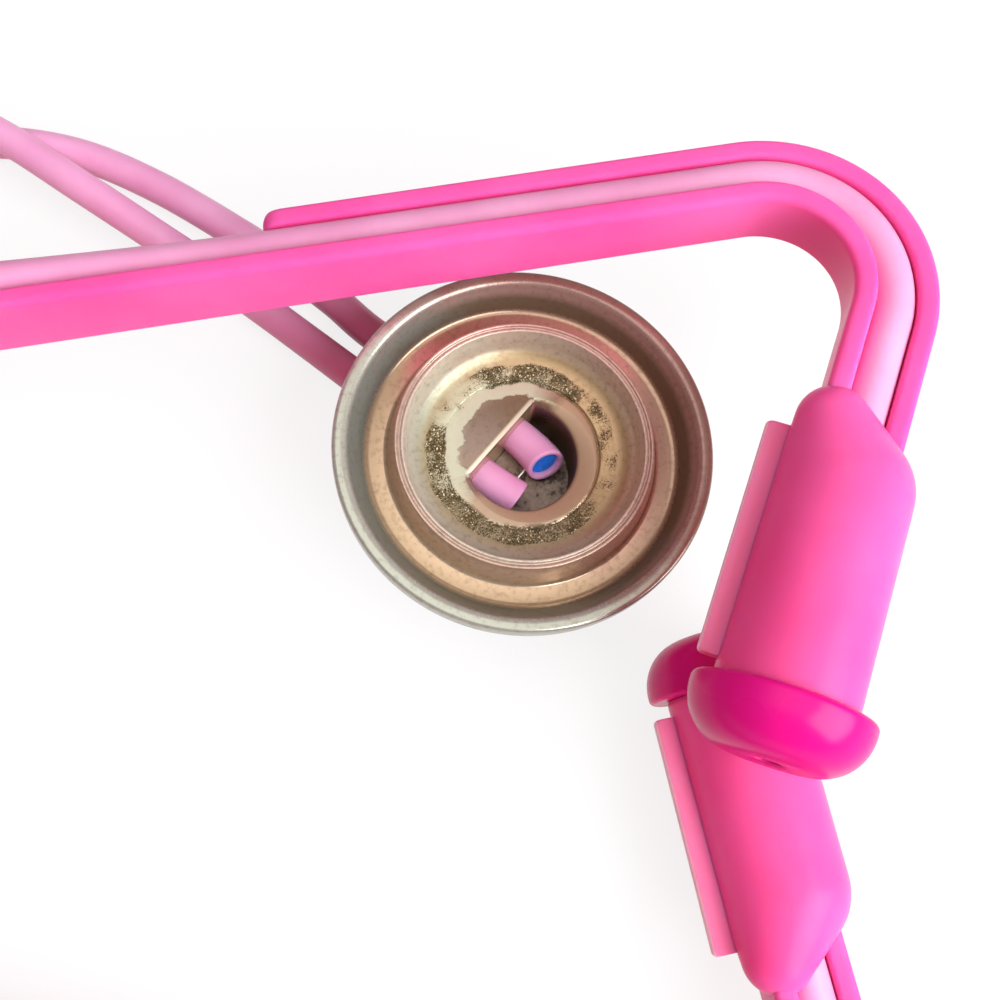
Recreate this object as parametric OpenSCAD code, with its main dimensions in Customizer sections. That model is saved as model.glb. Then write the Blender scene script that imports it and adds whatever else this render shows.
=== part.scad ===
// Toy stethoscope: two crossed arms on a pivot pin, with hoses, ear pieces and a bell.
// It lies flat: pivot axis along +Z at the origin, arms along +X, all sizes in millimetres.

/* [Hoses] */
// Outside diameter of the hose
hose_d = 5; // [4:0.1:7]
// Bore of the hose
hose_bore = 3.6; // [1.5:0.1:4.5]
// Distance between the two hoses in the bell
hose_spacing = 7.8; // [6:0.1:10]
// Length of hose that shows inside the pocket of the bell
hose_stub = 6.4; // [3:0.1:7]
// Length of hose held straight outside the hub of the bell
hose_lead = 1.5; // [0.5:0.1:4]
// Height of the hoses above the back face of the bell
hose_z = 5.2; // [4.5:0.1:8]
// Lean of the cut across the lower hose's end in the bell, upward
lower_cut_lift = 18; // [-20:1:30]
// Lean of the cut across the lower hose's end in the bell, sideways
lower_cut_yaw = -24; // [-30:1:30]
// Lean of the cut across the upper hose's end in the bell, upward
upper_cut_lift = -10; // [-20:1:30]
// Lean of the cut across the upper hose's end in the bell, sideways
upper_cut_yaw = 0; // [-30:1:30]
// Length of hose that is cut off aslant
cut_over = 2; // [1:0.1:3]
// Length of the plug in each hose end
plug_len = 5; // [3:0.1:8]
// Depth of the plug below the end of the hose
plug_depth = 0.8; // [0.3:0.1:3]
// Radial clearance of the plug in the hose bore
plug_clear = 0.02; // [0.01:0.01:0.1]
// Diameter of the retaining wire
wire_d = 0.8; // [0.5:0.1:1.2]
// Distance of the wire from the hose end
wire_depth = 2; // [1.5:0.1:5]
// Length of wire that stands out past each hose
wire_over = 0.5; // [0.2:0.1:0.8]
// Radial clearance of the wire in its holes
wire_clear = 0.03; // [0.01:0.01:0.1]

/* [Arms] */
// Thickness of the channel walls
wall_t = 2.7; // [1.5:0.1:4]
// Thickness of the outer wall
outer_t = 2.6; // [1.5:0.1:4]
// Drop of the outer wall's top below the inner wall's
outer_drop = 2.9; // [0:0.1:4]
// Thickness of the channel floor at the ear end
floor_t = 2; // [1.2:0.1:4]
// Height of the channel walls above the underside at the ear end
channel_h = 9.2; // [7:0.1:12]
// Clearance of the hose on each side in its channel
slot_clear = 0.1; // [0.05:0.01:0.4]
// Extra depth of the arm at its pivot end
root_drop = 2.5; // [1:0.1:5]
// Radius of the curved root, on the line of the hose
root_r = 88; // [70:1:110]
// Angle that the root of the upper arm turns through
upper_sweep = 54; // [40:0.5:65]
// Angle that the root of the lower arm turns through
lower_sweep = 49.9; // [40:0.1:65]
// Length of the straight blade
blade_len = 101.9; // [80:0.1:130]
// Distance along the blade to the start of the outer wall
outer_wall_at = 40.5; // [20:0.5:70]
// Rounding of the start of the outer wall
outer_wall_r = 3; // [1:0.1:5]
// Width of the ledge under the hose where there is no outer wall
ledge_w = 8.2; // [6:0.1:10]
// Radius of the bend at the ear end, on the line of the hose
bend_r = 15.6; // [13:0.1:25]
// Angle of the bend at the ear end
bend_turn = 115.6; // [95:0.1:125]
// Length of the straight tail that enters the sleeve
tail_len = 21; // [14:0.5:28]
// Step down all round where the tail leaves the bend
tail_step = 0.1; // [0.05:0.01:0.3]
// Angle of the upper arm above the X axis
upper_angle = 6; // [0:0.1:20]
// Angle of the lower arm below the X axis
lower_angle = 13.5; // [5:0.1:25]

/* [Pivot] */
// Radius of the lug of each arm
lug_r = 9.5; // [8:0.1:12]
// Thickness of the lug of each arm
lug_t = 4.5; // [3:0.1:6]
// Gap between the two lugs
lug_gap = 0.2; // [0.05:0.05:0.6]
// Rise from the underside of the upper lug to the underside of its arm
crank = 1; // [0.5:0.1:3]
// Diameter of the pivot pin
pin_d = 6; // [4:0.1:8]
// Diameter of the head of the pivot pin
pin_head_d = 11; // [8:0.1:14]
// Thickness of the head of the pivot pin
pin_head_t = 1.8; // [1.2:0.1:3]
// Gap under the head of the pivot pin
head_gap = 0.1; // [0.05:0.05:0.4]
// Distance from the head of the pin to the root of the arm
head_room = 0.7; // [0.3:0.1:2]
// Radial clearance of the pin in the lugs
run_clear = 0.05; // [0.02:0.01:0.1]
// Diameter of the pivot cap
cap_d = 16; // [10:0.5:19]
// Thickness left under the pin in the pivot cap
cap_floor = 1.2; // [0.8:0.1:2]
// Radial clearance of the pin in the cap
cap_clear = 0.02; // [0.01:0.01:0.05]
// Gap between the pin head and the hose over it
hose_over = 0.3; // [0.1:0.1:1]
// Distance from the pivot to the start of the upright wall
wall_at = 13; // [10:0.5:20]

/* [Ear pieces] */
// Radius of the sleeve behind its nose
sleeve_r = 7.9; // [7:0.1:9]
// Radius of the sleeve at the ear tip
sleeve_end_r = 8.1; // [7:0.1:9.5]
// Distance from the bend to the end of the sleeve
sleeve_end = 46.2; // [40:0.1:58]
// Clearance of the sleeve round the tail of the arm
sleeve_fit = 0.1; // [0.05:0.01:0.4]
// Distance from the bend to the full radius of the sleeve
body_at = 21.6; // [18:0.1:28]
// Radius of the tip of the nose
nose_r = 4.3; // [3:0.1:5]
// Distance from the bend to the centre of the nose tip
nose_at = 14.5; // [12:0.1:18]
// Offset of the nose tip toward the inside of the bend
nose_off = 3.4; // [0:0.1:4]
// Height of the nose tip above the line of the hose
nose_rise = 2; // [0:0.1:3]
// Reach of the flange strip from the line of the hose
flange_reach = 10.5; // [9:0.1:13]
// Thickness of the flange strip
flange_t = 2; // [1:0.1:4]
// Distance from the bend to the start of the flange strip
flange_at = 15.8; // [13:0.1:22]
// Length of the flange strip
flange_len = 28.4; // [15:0.1:29]
// Radius of the ear tip at its rim
tip_r = 10.3; // [9:0.1:12]
// Length of the ear tip outside the sleeve
tip_len = 7.2; // [5:0.1:10]
// Thickness of the ear tip behind its rim
tip_back = 1; // [0.5:0.1:2]
// Radius of the back face of the ear tip
tip_back_r = 9.6; // [8:0.1:11]
// Radius of the flat end of the ear tip
tip_flat_r = 4.5; // [3:0.1:6]
// Diameter of the sound hole in the ear tip
tip_hole_d = 3.5; // [2:0.1:5]
// Diameter of the shank of the ear tip
shank_d = 9; // [6:0.1:11]
// Length of the shank of the ear tip
shank_len = 6; // [4:0.1:10]
// Radial clearance of the shank in the sleeve
shank_clear = 0.02; // [0.01:0.01:0.1]
// Gap between the shank and the end of the hose
shank_gap = 0.5; // [0.2:0.1:2]
// Gap between the crossed ear tips
tip_gap = 0.5; // [0.2:0.1:3]

/* [Bell] */
// Gap along the arms between the lip of the bell and the lower ear tip's axis
bell_gap = 2; // [0:0.1:20]
// Distance across the arms from the lower ear tip to the centre of the bell
bell_aside = 30.2; // [20:0.1:60]
// Tilt of the bell as it lies on its foot
bell_tilt = 5; // [0:0.5:10]
// Direction of the hoses as they leave the bell
hose_turn = 141; // [90:1:180]
// Outer radius of the lip
lip_r = 25.2; // [22:0.1:30]
// Height of the lip above the back face
lip_h = 16; // [13:0.1:20]
// Width of the top of the lip
lip_w = 1.8; // [1:0.1:3]
// Rounding of the lip
lip_round = 0.8; // [0.2:0.1:0.9]
// Height of the upright outside of the lip
lip_band = 2; // [1:0.1:4]
// Outer radius of the ledge inside the lip
ledge_r = 21.2; // [19:0.1:24]
// Height of the ledge
ledge_h = 11.7; // [9:0.1:14]
// Outer radius of the foot of the raised ring
ring_foot_r = 18.2; // [17:0.1:20]
// Outer radius of the top of the raised ring
ring_r = 17.1; // [15:0.1:19]
// Width of the top of the raised ring
ring_w = 1.2; // [0.6:0.1:2]
// Height of the raised ring
ring_h = 16.3; // [13:0.1:20]
// Radius at the foot of the inside of the ring
bowl_r = 15.2; // [13:0.1:16]
// Height at the foot of the inside of the ring
bowl_h = 13.2; // [11:0.1:15]
// Radius of the hollow round the middle plate
dish_r = 13.5; // [11:0.1:15]
// Height of the hollow round the middle plate
dish_h = 12.1; // [10:0.1:14]
// Radius of the middle plate
plate_r = 10; // [9:0.1:12]
// Height of the middle plate
plate_h = 11.8; // [9:0.1:13]
// Radius of the pocket in the middle plate
pocket_r = 7.7; // [6:0.1:9]
// Distance from the centre to the flat side of the pocket
pocket_flat = 3.5; // [2:0.1:6]
// Fall of the sloping edge of the pocket
funnel_drop = 1.3; // [0.5:0.1:2]
// Greatest width of the sloping edge of the pocket
funnel_w = 2.4; // [1:0.1:4]
// Wall thickness of the bell
shell_t = 1.6; // [1:0.1:2.5]
// Radius of the hub behind the bowl
hub_r = 13.5; // [12:0.1:16]
// Height of the top of the hub
hub_h = 8.5; // [7:0.1:10]
// Radius where the hub runs out into the bowl
flare_r = 16; // [14:0.1:18]
// Thickness of the back plate
back_t = 1.8; // [1.2:0.1:3]
// Radius of the foot of the back plate
foot_r = 12; // [9:0.1:13]
// Height of the spigot and pad on the back plate
spigot_h = 0.6; // [0.4:0.1:1]
// Thickness of the spigot wall
spigot_t = 1.2; // [0.8:0.1:2]
// Radial clearance of the spigot and pad
spigot_clear = 0.05; // [0.02:0.01:0.2]

/* [Hidden] */
$fn = 96;

// Length by which a cut runs past the face it opens
overrun = 1;
// Length by which neighbouring stretches of one piece run into each other
lap = 0.05;
// Sides of a swept hose and steps between two points of its route
hose_sides = 12;
route_steps = 2;
// Steps along an ear tip's rounded profile
tip_steps = 10;
// Steps along the bend, the rising and the curved stretch of a held hose
bend_steps = 10;
rise_steps = 6;
root_steps = 8;

hose_r = hose_d / 2;
slot_w = hose_d + 2 * slot_clear;
// Inner and outer faces of the channel from the hose's line, and the height of the outer wall
inner_u = -slot_w / 2 - wall_t;
outer_u = slot_w / 2 + outer_t;
outer_h = channel_h - outer_drop;
// Height of the hose's centre line in the channel
axis_h = floor_t + slot_clear + hose_r;
neck_at = pin_head_d / 2 + head_room;

// The lower ear tip lies on the table and sets the height of the lower arm.
lower_z = tip_r - axis_h;
lower_lug_z = lower_z - root_drop;
upper_lug_z = lower_lug_z + lug_t + lug_gap;
upper_z = upper_lug_z + crank + root_drop;
head_z = upper_lug_z + lug_t + head_gap;
pin_top = head_z + pin_head_t;

// Place of the ear tip's rim along the arm, and the lift that carries one tip over the other
rim_run = sleeve_end + tip_back;
rim_x = root_r * sin(upper_sweep) + blade_len + bend_r * sin(bend_turn) + rim_run * cos(bend_turn);
lift = asin((2 * tip_r + tip_gap - upper_z + lower_z) / rim_x);

// Rise of the upper hose out of its channel: where it starts, how far, and its curve's power
rise_from = 40;
rise_h = 2.4;
rise_power = 1.5;
// Height of the hose over the pivot pin
cross_z = pin_top + hose_over + hose_r;
cross_h = (cross_z - upper_z) * cos(lift);
cross_x = (cross_z - upper_z) * sin(lift);
// Angle back from the pivot at which the lower hose leaves its arm
leave_turn = 25.5;

// Lower ear tip's rim in the frame of the arm, turned into the frame of the part, and the bell beside it
rim_arm = [
  root_r * sin(lower_sweep) + blade_len + bend_r * sin(bend_turn) + rim_run * cos(bend_turn),
  root_r - root_r * cos(lower_sweep) - bend_r + bend_r * cos(bend_turn) - rim_run * sin(bend_turn)
];
bell_x = rim_arm.x * cos(lower_angle) - rim_arm.y * sin(lower_angle) - lip_r - bell_gap;
bell_y = bell_aside - rim_arm.x * sin(lower_angle) - rim_arm.y * cos(lower_angle);
bell_rise = foot_r * sin(bell_tilt);
hose_out = hub_r + hose_lead;

function unit(v) = v / norm(v);

// A point of the bell's own frame, hoses along its +X, in the frame of the part
function bell_point(p) =
  let (
    x = p.x * cos(hose_turn) - p.y * sin(hose_turn),
    y = p.x * sin(hose_turn) + p.y * cos(hose_turn)
  )
  [
    bell_x + x * cos(bell_tilt) + p.z * sin(bell_tilt),
    bell_y + y,
    bell_rise - x * sin(bell_tilt) + p.z * cos(bell_tilt)
  ];

bell_heading = unit(bell_point([0, 0, 0]) - bell_point([hose_out, 0, 0]));
upper_heading = upper_sweep + upper_angle + 180;

// Lower hose where it leaves the lower arm, in the frame of the part
leave_at = lower_sweep - leave_turn;
leave_arm = root_point(lower_sweep, leave_at / lower_sweep, axis_h);
leave_point = [
  leave_arm.x * cos(lower_angle) - leave_arm.y * sin(lower_angle),
  -leave_arm.x * sin(lower_angle) - leave_arm.y * cos(lower_angle),
  lower_z + leave_arm.z
];
leave_heading = 180 - leave_at - lower_angle;

// Route of the upper hose: over the pivot, round a loop on the table, into the bell
upper_route = concat(
  [[0, 0, cross_z]],
  [
    [-8, -9.5, 16.6], [-18.5, -15.5, 13.3], [-31, -17.5, 8], [-46, -14, 4], [-58, -3.5, 2.6],
    [-64.5, 11, 2.6], [-64.5, 26, 2.6], [-58, 39.5, 2.6], [-46, 49, 2.6], [-25, 60.5, 2.6],
    [-3, 72, 2.6], [17, 82.5, 3.2], [31, 87.3, 5.8], [46, 86, 7.8], [60.5, 78.5, 7.8],
    [73.5, 69.8, 7.4], [85.5, 62.5, 4.4], [93.8, 57.2, 3], [101, 52, 2.6], [108.2, 46.3, 3],
    [115.4, 40.1, 4.7]
  ],
  [bell_point([hose_out, hose_spacing / 2, hose_z])]
);
upper_path = hose_path(upper_route, [cos(upper_heading), sin(upper_heading), 0], bell_heading);
// Points of the upper route that belong to the stretch that flexes with the arm
bend_points = 3;

// Route of the lower hose: off the lower arm, past the pivot, under the upper hose, into the bell
lower_route = concat(
  [leave_point],
  [
    [15.5, -24.5, 10.5], [5.5, -19.3, 9.4], [-4, -13, 7.2], [-12, -5.4, 5.1], [-15.3, 5.5, 3.6],
    [-16, 18, 2.7], [-13.5, 32, 2.6], [-7.5, 45.5, 2.6], [2, 58, 2.6], [14, 68.5, 2.6],
    [28, 76.3, 2.6], [43, 80.2, 2.6], [57, 81, 2.6], [70.5, 78.7, 2.6], [83.5, 72.8, 2.6],
    [97, 64.3, 2.6], [105, 58.6, 2.6], [112, 53, 2.8], [118.6, 46.6, 4]
  ],
  [bell_point([hose_out, -hose_spacing / 2, hose_z])]
);
lower_path = hose_path(lower_route, [cos(leave_heading), sin(leave_heading), 0], bell_heading);

// One smooth step of a route between p1 and p2, at share f of the way
function route_point(p0, p1, p2, p3, f) =
  let (
    a = 2 * p1,
    b = p2 - p0,
    c = 2 * p0 - 5 * p1 + 4 * p2 - p3,
    d = 3 * p1 - p0 - 3 * p2 + p3
  )
  (a + b * f + c * f * f + d * f * f * f) / 2;

// Points and directions of a hose along a route that starts along t0 and ends along t1
function hose_path(route, t0, t1) =
  let (
    last = len(route) - 1,
    before = route[1] - 2 * norm(route[1] - route[0]) * t0,
    after = route[last - 1] + 2 * norm(route[last] - route[last - 1]) * t1,
    r = concat([before], route, [after]),
    points = concat(
      [
        for (i = [1:last], k = [0:route_steps - 1])
          route_point(r[i - 1], r[i], r[i + 1], r[i + 2], k / route_steps)
      ],
      [route[last]]
    ),
    end = len(points) - 1
  )
  [
    for (i = [0:end])
      [points[i], i == 0 ? t0 : i == end ? t1 : unit(points[i + 1] - points[i - 1])]
  ];

// Point of the curved root's centre line at share q of its turn from the blade to the pivot
function root_point(sweep, q, h) =
  [
    root_r * sin(sweep) - root_r * sin(q * sweep),
    root_r * cos(q * sweep) - root_r * cos(sweep),
    h
  ];

// Held hose from inside the sleeve round the bend to the end of the blade, with its directions
function channel_path(sweep) =
  let (
    centre = [root_r * sin(sweep) + blade_len, root_r - root_r * cos(sweep) - bend_r, axis_h],
    back = [-cos(bend_turn), sin(bend_turn), 0],
    inside = sleeve_end - shank_len - shank_gap
  )
  concat(
    [[centre + bend_r * [sin(bend_turn), cos(bend_turn), 0] - inside * back, back]],
    [
      for (i = [bend_steps:-1:0])
        let (a = bend_turn * i / bend_steps)
        [centre + bend_r * [sin(a), cos(a), 0], [-cos(a), sin(a), 0]]
    ]
  );

// Smooth curve from height h0 with slope m0 to level at height h1
function ease(h0, m0, h1, q) =
  (2 * pow(q, 3) - 3 * pow(q, 2) + 1) * h0 + (pow(q, 3) - 2 * pow(q, 2) + q) * m0
  + (3 * pow(q, 2) - 2 * pow(q, 3)) * h1;

// Round bar of the hose's size along a list of points and directions
module hose_sweep(path) {
  rings = len(path);
  skin = [
    for (ring = path)
      let (
        side = unit(cross([0, 0, 1], ring[1])),
        top = cross(ring[1], side)
      )
      for (k = [0:hose_sides - 1])
        let (a = 360 * k / hose_sides)
        ring[0] + hose_r * (side * cos(a) + top * sin(a))
  ];
  walls = [
    for (i = [0:rings - 2], k = [0:hose_sides - 1])
      let (
        n = (k + 1) % hose_sides,
        a = i * hose_sides,
        b = a + hose_sides
      )
      for (face = [[a + k, b + k, a + n], [a + n, b + k, b + n]]) face
  ];
  ends = [
    [for (k = [0:hose_sides - 1]) k],
    [for (k = [hose_sides - 1:-1:0]) (rings - 1) * hose_sides + k]
  ];
  polyhedron(skin, concat(walls, ends));
}

// Stretch of a list
function stretch(list, from, to) = [for (i = [from:to]) list[i]];

module upper_pose() {
  translate([0, 0, upper_z])
    rotate([0, 0, upper_angle])
      rotate([0, -lift, 0])
        children();
}

module lower_pose() {
  translate([0, 0, lower_z])
    rotate([0, 0, -lower_angle])
      mirror([0, 1, 0])
        children();
}

// Start of the blade, past the curved root
module blade_frame(sweep) {
  translate([root_r * sin(sweep), root_r - root_r * cos(sweep), 0])
    children();
}

// End of the bend: +X runs on along the tail, +Y to the outside of the bend
module ear_frame(sweep) {
  blade_frame(sweep)
    translate([blade_len, -bend_r, 0])
      rotate([0, 0, -bend_turn])
        translate([0, bend_r, 0])
          children();
}

// The bell's own frame, with the hoses along +X
module bell_frame() {
  translate([bell_x, bell_y, bell_rise])
    rotate([0, bell_tilt, 0])
      rotate([0, 0, hose_turn])
        children();
}

// Section of the channel, with every face set back by a step
module channel_section(step) {
  slot_u = slot_w / 2 + step;
  polygon([
    [inner_u + step, step],
    [outer_u - step, step],
    [outer_u - step, outer_h - step],
    [slot_u, outer_h - step],
    [slot_u, floor_t - step],
    [-slot_u, floor_t - step],
    [-slot_u, channel_h - step],
    [inner_u + step, channel_h - step]
  ]);
}

// Part of the curved root, as far back as a given distance from the pivot
module root_arc(sweep, stop, width, top) {
  translate([root_r * sin(sweep), -root_r * cos(sweep), 0])
    rotate([0, 0, 90])
      rotate_extrude(angle = sweep - asin(stop / root_r))
        translate([root_r + inner_u, -root_drop])
          square([width, root_drop + top]);
}

// Upright slab of the blade with the arm's sloping underside
module blade_slab(width, top) {
  translate([0, inner_u + width, 0])
    rotate([90, 0, 0])
      linear_extrude(width)
        polygon([[0, -root_drop], [blade_len, 0], [blade_len, top], [0, top]]);
}

// Floor of the blade, narrower as far as the outer wall
module blade_floor() {
  difference() {
    blade_slab(outer_u - inner_u, floor_t);
    translate([-overrun, inner_u + ledge_w, -root_drop - overrun])
      cube([outer_wall_at + overrun, outer_u - inner_u, root_drop + floor_t + 2 * overrun]);
  }
}

// Outer wall of the blade, rooted in its floor and rounded where it starts
module outer_wall() {
  full = outer_wall_at + outer_wall_r;
  foot = floor_t / 2;
  translate([0, outer_u, 0])
    rotate([90, 0, 0])
      linear_extrude(outer_t)
        union() {
          polygon([
            [full, foot],
            [blade_len, foot],
            [blade_len, outer_h],
            [full, outer_h]
          ]);
          translate([full, outer_h - outer_wall_r])
            circle(outer_wall_r);
          polygon([
            [outer_wall_at, foot],
            [full, foot],
            [full, outer_h - outer_wall_r],
            [outer_wall_at, outer_h - outer_wall_r]
          ]);
        }
}

module arm(sweep) {
  root_arc(sweep, neck_at, ledge_w, floor_t);
  root_arc(sweep, wall_at, wall_t, channel_h);
  blade_frame(sweep) {
    blade_floor();
    blade_slab(wall_t, channel_h);
    outer_wall();
    translate([blade_len, -bend_r, 0])
      rotate([0, 0, 90])
        rotate_extrude(angle = -bend_turn)
          translate([bend_r, 0])
            channel_section(0);
  }
  ear_frame(sweep)
    translate([-lap, 0, 0])
      rotate([90, 0, 90])
        linear_extrude(tail_len + lap)
          channel_section(tail_step);
}

module lug(z) {
  translate([0, 0, z])
    cylinder(r = lug_r, h = lug_t);
}

module pin_bore() {
  cylinder(d = pin_d + 2 * run_clear, h = pin_top);
}

module lower_arm() {
  color("hotpink")
    difference() {
      union() {
        lower_pose()
          arm(lower_sweep);
        lug(lower_lug_z);
      }
      pin_bore();
    }
}

module upper_arm() {
  color("hotpink")
    difference() {
      union() {
        upper_pose()
          arm(upper_sweep);
        lug(upper_lug_z);
      }
      pin_bore();
    }
}

// Oblique round nose: two balls and the cone between them, each sunk a little into the next
module nose() {
  tip = [nose_at, -nose_off, axis_h + nose_rise];
  run = [body_at, 0, axis_h] - tip;
  ball_r = sleeve_r - lap;
  span = norm(run);
  lean = asin((ball_r - nose_r) / span);
  translate(tip) {
    sphere(nose_r);
    rotate([0, acos(run.z / span), atan2(run.y, run.x)]) {
      translate([0, 0, -nose_r * sin(lean)])
        cylinder(
          r1 = nose_r * cos(lean) - lap,
          r2 = ball_r * cos(lean) - lap,
          h = span - (ball_r - nose_r) * sin(lean)
        );
      translate([0, 0, span])
        sphere(ball_r);
    }
  }
}

module sleeve() {
  play = sleeve_fit - tail_step;
  fit_w = outer_u - inner_u + 2 * play;
  socket = shank_len + shank_gap;
  difference() {
    union() {
      nose();
      translate([body_at, 0, axis_h])
        rotate([0, 90, 0])
          cylinder(r1 = sleeve_r, r2 = sleeve_end_r, h = sleeve_end - body_at);
      translate([flange_at, -flange_reach, axis_h - flange_t / 2])
        cube([flange_len, flange_reach - hose_d, flange_t]);
    }
    translate([0, inner_u - play, -play])
      cube([tail_len + sleeve_fit, fit_w, channel_h + 2 * play]);
    translate([tail_len, 0, axis_h])
      rotate([0, 90, 0])
        cylinder(d = slot_w, h = sleeve_end - tail_len);
    translate([sleeve_end - socket, 0, axis_h])
      rotate([0, 90, 0])
        cylinder(d = shank_d + 2 * shank_clear, h = socket + overrun);
  }
}

module lower_sleeve() {
  color("deeppink")
    lower_pose()
      ear_frame(lower_sweep)
        sleeve();
}

module upper_sleeve() {
  color("deeppink")
    upper_pose()
      ear_frame(upper_sweep)
        sleeve();
}

// Mushroom with a round shoulder, flat end, sound hole and shank
module ear_tip() {
  shoulder = [
    for (i = [0:tip_steps])
      let (a = 90 * i / tip_steps)
      [
        tip_flat_r + (tip_r - tip_flat_r) * cos(a),
        tip_back + (tip_len - tip_back) * sin(a)
      ]
  ];
  translate([sleeve_end, 0, axis_h])
    rotate([0, 90, 0])
      rotate_extrude()
        polygon(concat(
          [
            [tip_hole_d / 2, -shank_len],
            [shank_d / 2, -shank_len],
            [shank_d / 2, 0],
            [tip_back_r, 0]
          ],
          shoulder,
          [[tip_hole_d / 2, tip_len]]
        ));
}

module lower_ear_tip() {
  color("mediumvioletred")
    lower_pose()
      ear_frame(lower_sweep)
        ear_tip();
}

module upper_ear_tip() {
  color("mediumvioletred")
    upper_pose()
      ear_frame(upper_sweep)
        ear_tip();
}

module pivot_pin() {
  color("hotpink") {
    translate([0, 0, cap_floor])
      cylinder(d = pin_d, h = head_z - cap_floor);
    translate([0, 0, head_z])
      cylinder(d = pin_head_d, h = pin_head_t);
  }
}

module pivot_cap() {
  color("hotpink")
    difference() {
      cylinder(d = cap_d, h = lower_lug_z);
      translate([0, 0, cap_floor])
        cylinder(d = pin_d + 2 * cap_clear, h = lower_lug_z);
    }
}

module lower_arm_hose() {
  path = concat(
    channel_path(lower_sweep),
    [
      for (i = [0:root_steps])
        let (a = leave_at * i / root_steps)
        [root_point(lower_sweep, a / lower_sweep, axis_h), [-cos(a), -sin(a), 0]]
    ]
  );
  color("plum")
    lower_pose()
      hose_sweep(path);
}

module upper_arm_hose() {
  start = root_point(upper_sweep, 0, 0);
  slope = rise_power * rise_h / rise_from * root_r * upper_sweep * PI / 180;
  points = concat(
    [
      for (i = [0:rise_steps - 1])
        let (f = i / rise_steps)
        start + [rise_from * (1 - f), 0, axis_h + rise_h * pow(f, rise_power)]
    ],
    [
      for (i = [0:root_steps])
        let (q = i / root_steps)
        root_point(upper_sweep, q, ease(axis_h + rise_h, slope, cross_h, q)) + [cross_x * q * q, 0, 0]
    ]
  );
  end = len(points) - 1;
  arrive = [
    -cos(upper_sweep) * cos(lift),
    -sin(upper_sweep),
    cos(upper_sweep) * sin(lift)
  ];
  path = [
    for (i = [0:end])
      [
        points[i],
        i == 0 ? [-1, 0, 0] : i == end ? arrive : unit(points[i + 1] - points[i - 1])
      ]
  ];
  color("plum")
    upper_pose()
      hose_sweep(concat(channel_path(upper_sweep), path));
}

module upper_hose_bend() {
  color("plum")
    hose_sweep(stretch(upper_path, 0, bend_points * route_steps));
}

module upper_free_hose() {
  color("plum")
    hose_sweep(stretch(upper_path, bend_points * route_steps, len(upper_path) - 1));
}

module lower_free_hose() {
  color("plum")
    hose_sweep(lower_path);
}

// Pocket outline: a circle with one flat side toward the hoses
module pocket_section(grow) {
  intersection() {
    circle(pocket_r + grow);
    translate([-lip_r, -lip_r])
      square([lip_r + pocket_flat + grow, 2 * lip_r]);
  }
}

// The two places of the hoses in the bell, for holes and wire
module hose_holes(d, from, to) {
  for (side = [-1, 1])
    translate([from, side * hose_spacing / 2, hose_z])
      rotate([0, 90, 0])
        cylinder(d = d, h = to - from);
}

module bell_front() {
  hub_bore = hub_r - shell_t;
  lip_foot = lip_h - lip_round - lip_band;
  color("tan")
    bell_frame()
      difference() {
        union() {
          rotate_extrude()
            polygon([
              [0, plate_h - shell_t],
              [hub_bore, plate_h - shell_t],
              [hub_bore, back_t],
              [hub_r, back_t],
              [hub_r, hub_h],
              [flare_r, ledge_h - shell_t],
              [ledge_r + shell_t / 2, ledge_h - shell_t],
              [lip_r, lip_foot],
              [lip_r, lip_h - lip_round],
              [lip_r - lip_round, lip_h],
              [lip_r - lip_w, lip_h],
              [ledge_r, ledge_h],
              [ring_foot_r, ledge_h],
              [ring_r, ring_h],
              [ring_r - ring_w, ring_h],
              [bowl_r, bowl_h],
              [dish_r, dish_h],
              [plate_r, plate_h],
              [0, plate_h]
            ]);
          translate([0, 0, back_t])
            linear_extrude(plate_h - back_t)
              pocket_section(shell_t);
        }
        translate([0, 0, back_t - overrun])
          linear_extrude(plate_h)
            pocket_section(0);
        translate([-funnel_w / 2, 0, plate_h - funnel_drop])
          cylinder(r1 = pocket_r - funnel_w / 2, r2 = pocket_r + funnel_w / 2, h = funnel_drop);
        hose_holes(slot_w, pocket_flat - hose_stub, hub_r + overrun);
      }
}

module bell_back() {
  color("peru")
    bell_frame() {
      cylinder(r1 = foot_r, r2 = hub_r, h = back_t);
      translate([0, 0, back_t]) {
        linear_extrude(spigot_h)
          pocket_section(-spigot_clear);
        difference() {
          cylinder(r = hub_r - shell_t - spigot_clear, h = spigot_h);
          translate([0, 0, -overrun])
            cylinder(r = hub_r - shell_t - spigot_clear - spigot_t, h = spigot_h + 2 * overrun);
        }
      }
    }
}

// Place of the retaining wire's axis, across both hoses
module wire_bar(d, half) {
  translate([pocket_flat - hose_stub + wire_depth, -half, hose_z])
    rotate([-90, 0, 0])
      cylinder(d = d, h = 2 * half);
}

wire_half = hose_spacing / 2 + hose_r + wire_over;

// What the knife takes off the end of a hose in the pocket, beyond a depth from its middle
module end_cut(side, lift, yaw, depth) {
  translate([pocket_flat - hose_stub, side * hose_spacing / 2, hose_z])
    rotate([0, 0, yaw])
      rotate([0, lift, 0])
        translate([depth - 2 * hose_d, -hose_d, -hose_d])
          cube(2 * hose_d);
}

module hose_end(side, lift, yaw) {
  from = pocket_flat - hose_stub - cut_over;
  bell_frame()
    difference() {
      translate([from, side * hose_spacing / 2, hose_z])
        rotate([0, 90, 0])
          difference() {
            cylinder(r = hose_r, h = hose_out - from);
            translate([0, 0, -overrun])
              cylinder(d = hose_bore, h = hose_out - from + 2 * overrun);
          }
      end_cut(side, lift, yaw, 0);
      wire_bar(wire_d + 2 * wire_clear, wire_half + overrun);
    }
}

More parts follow.
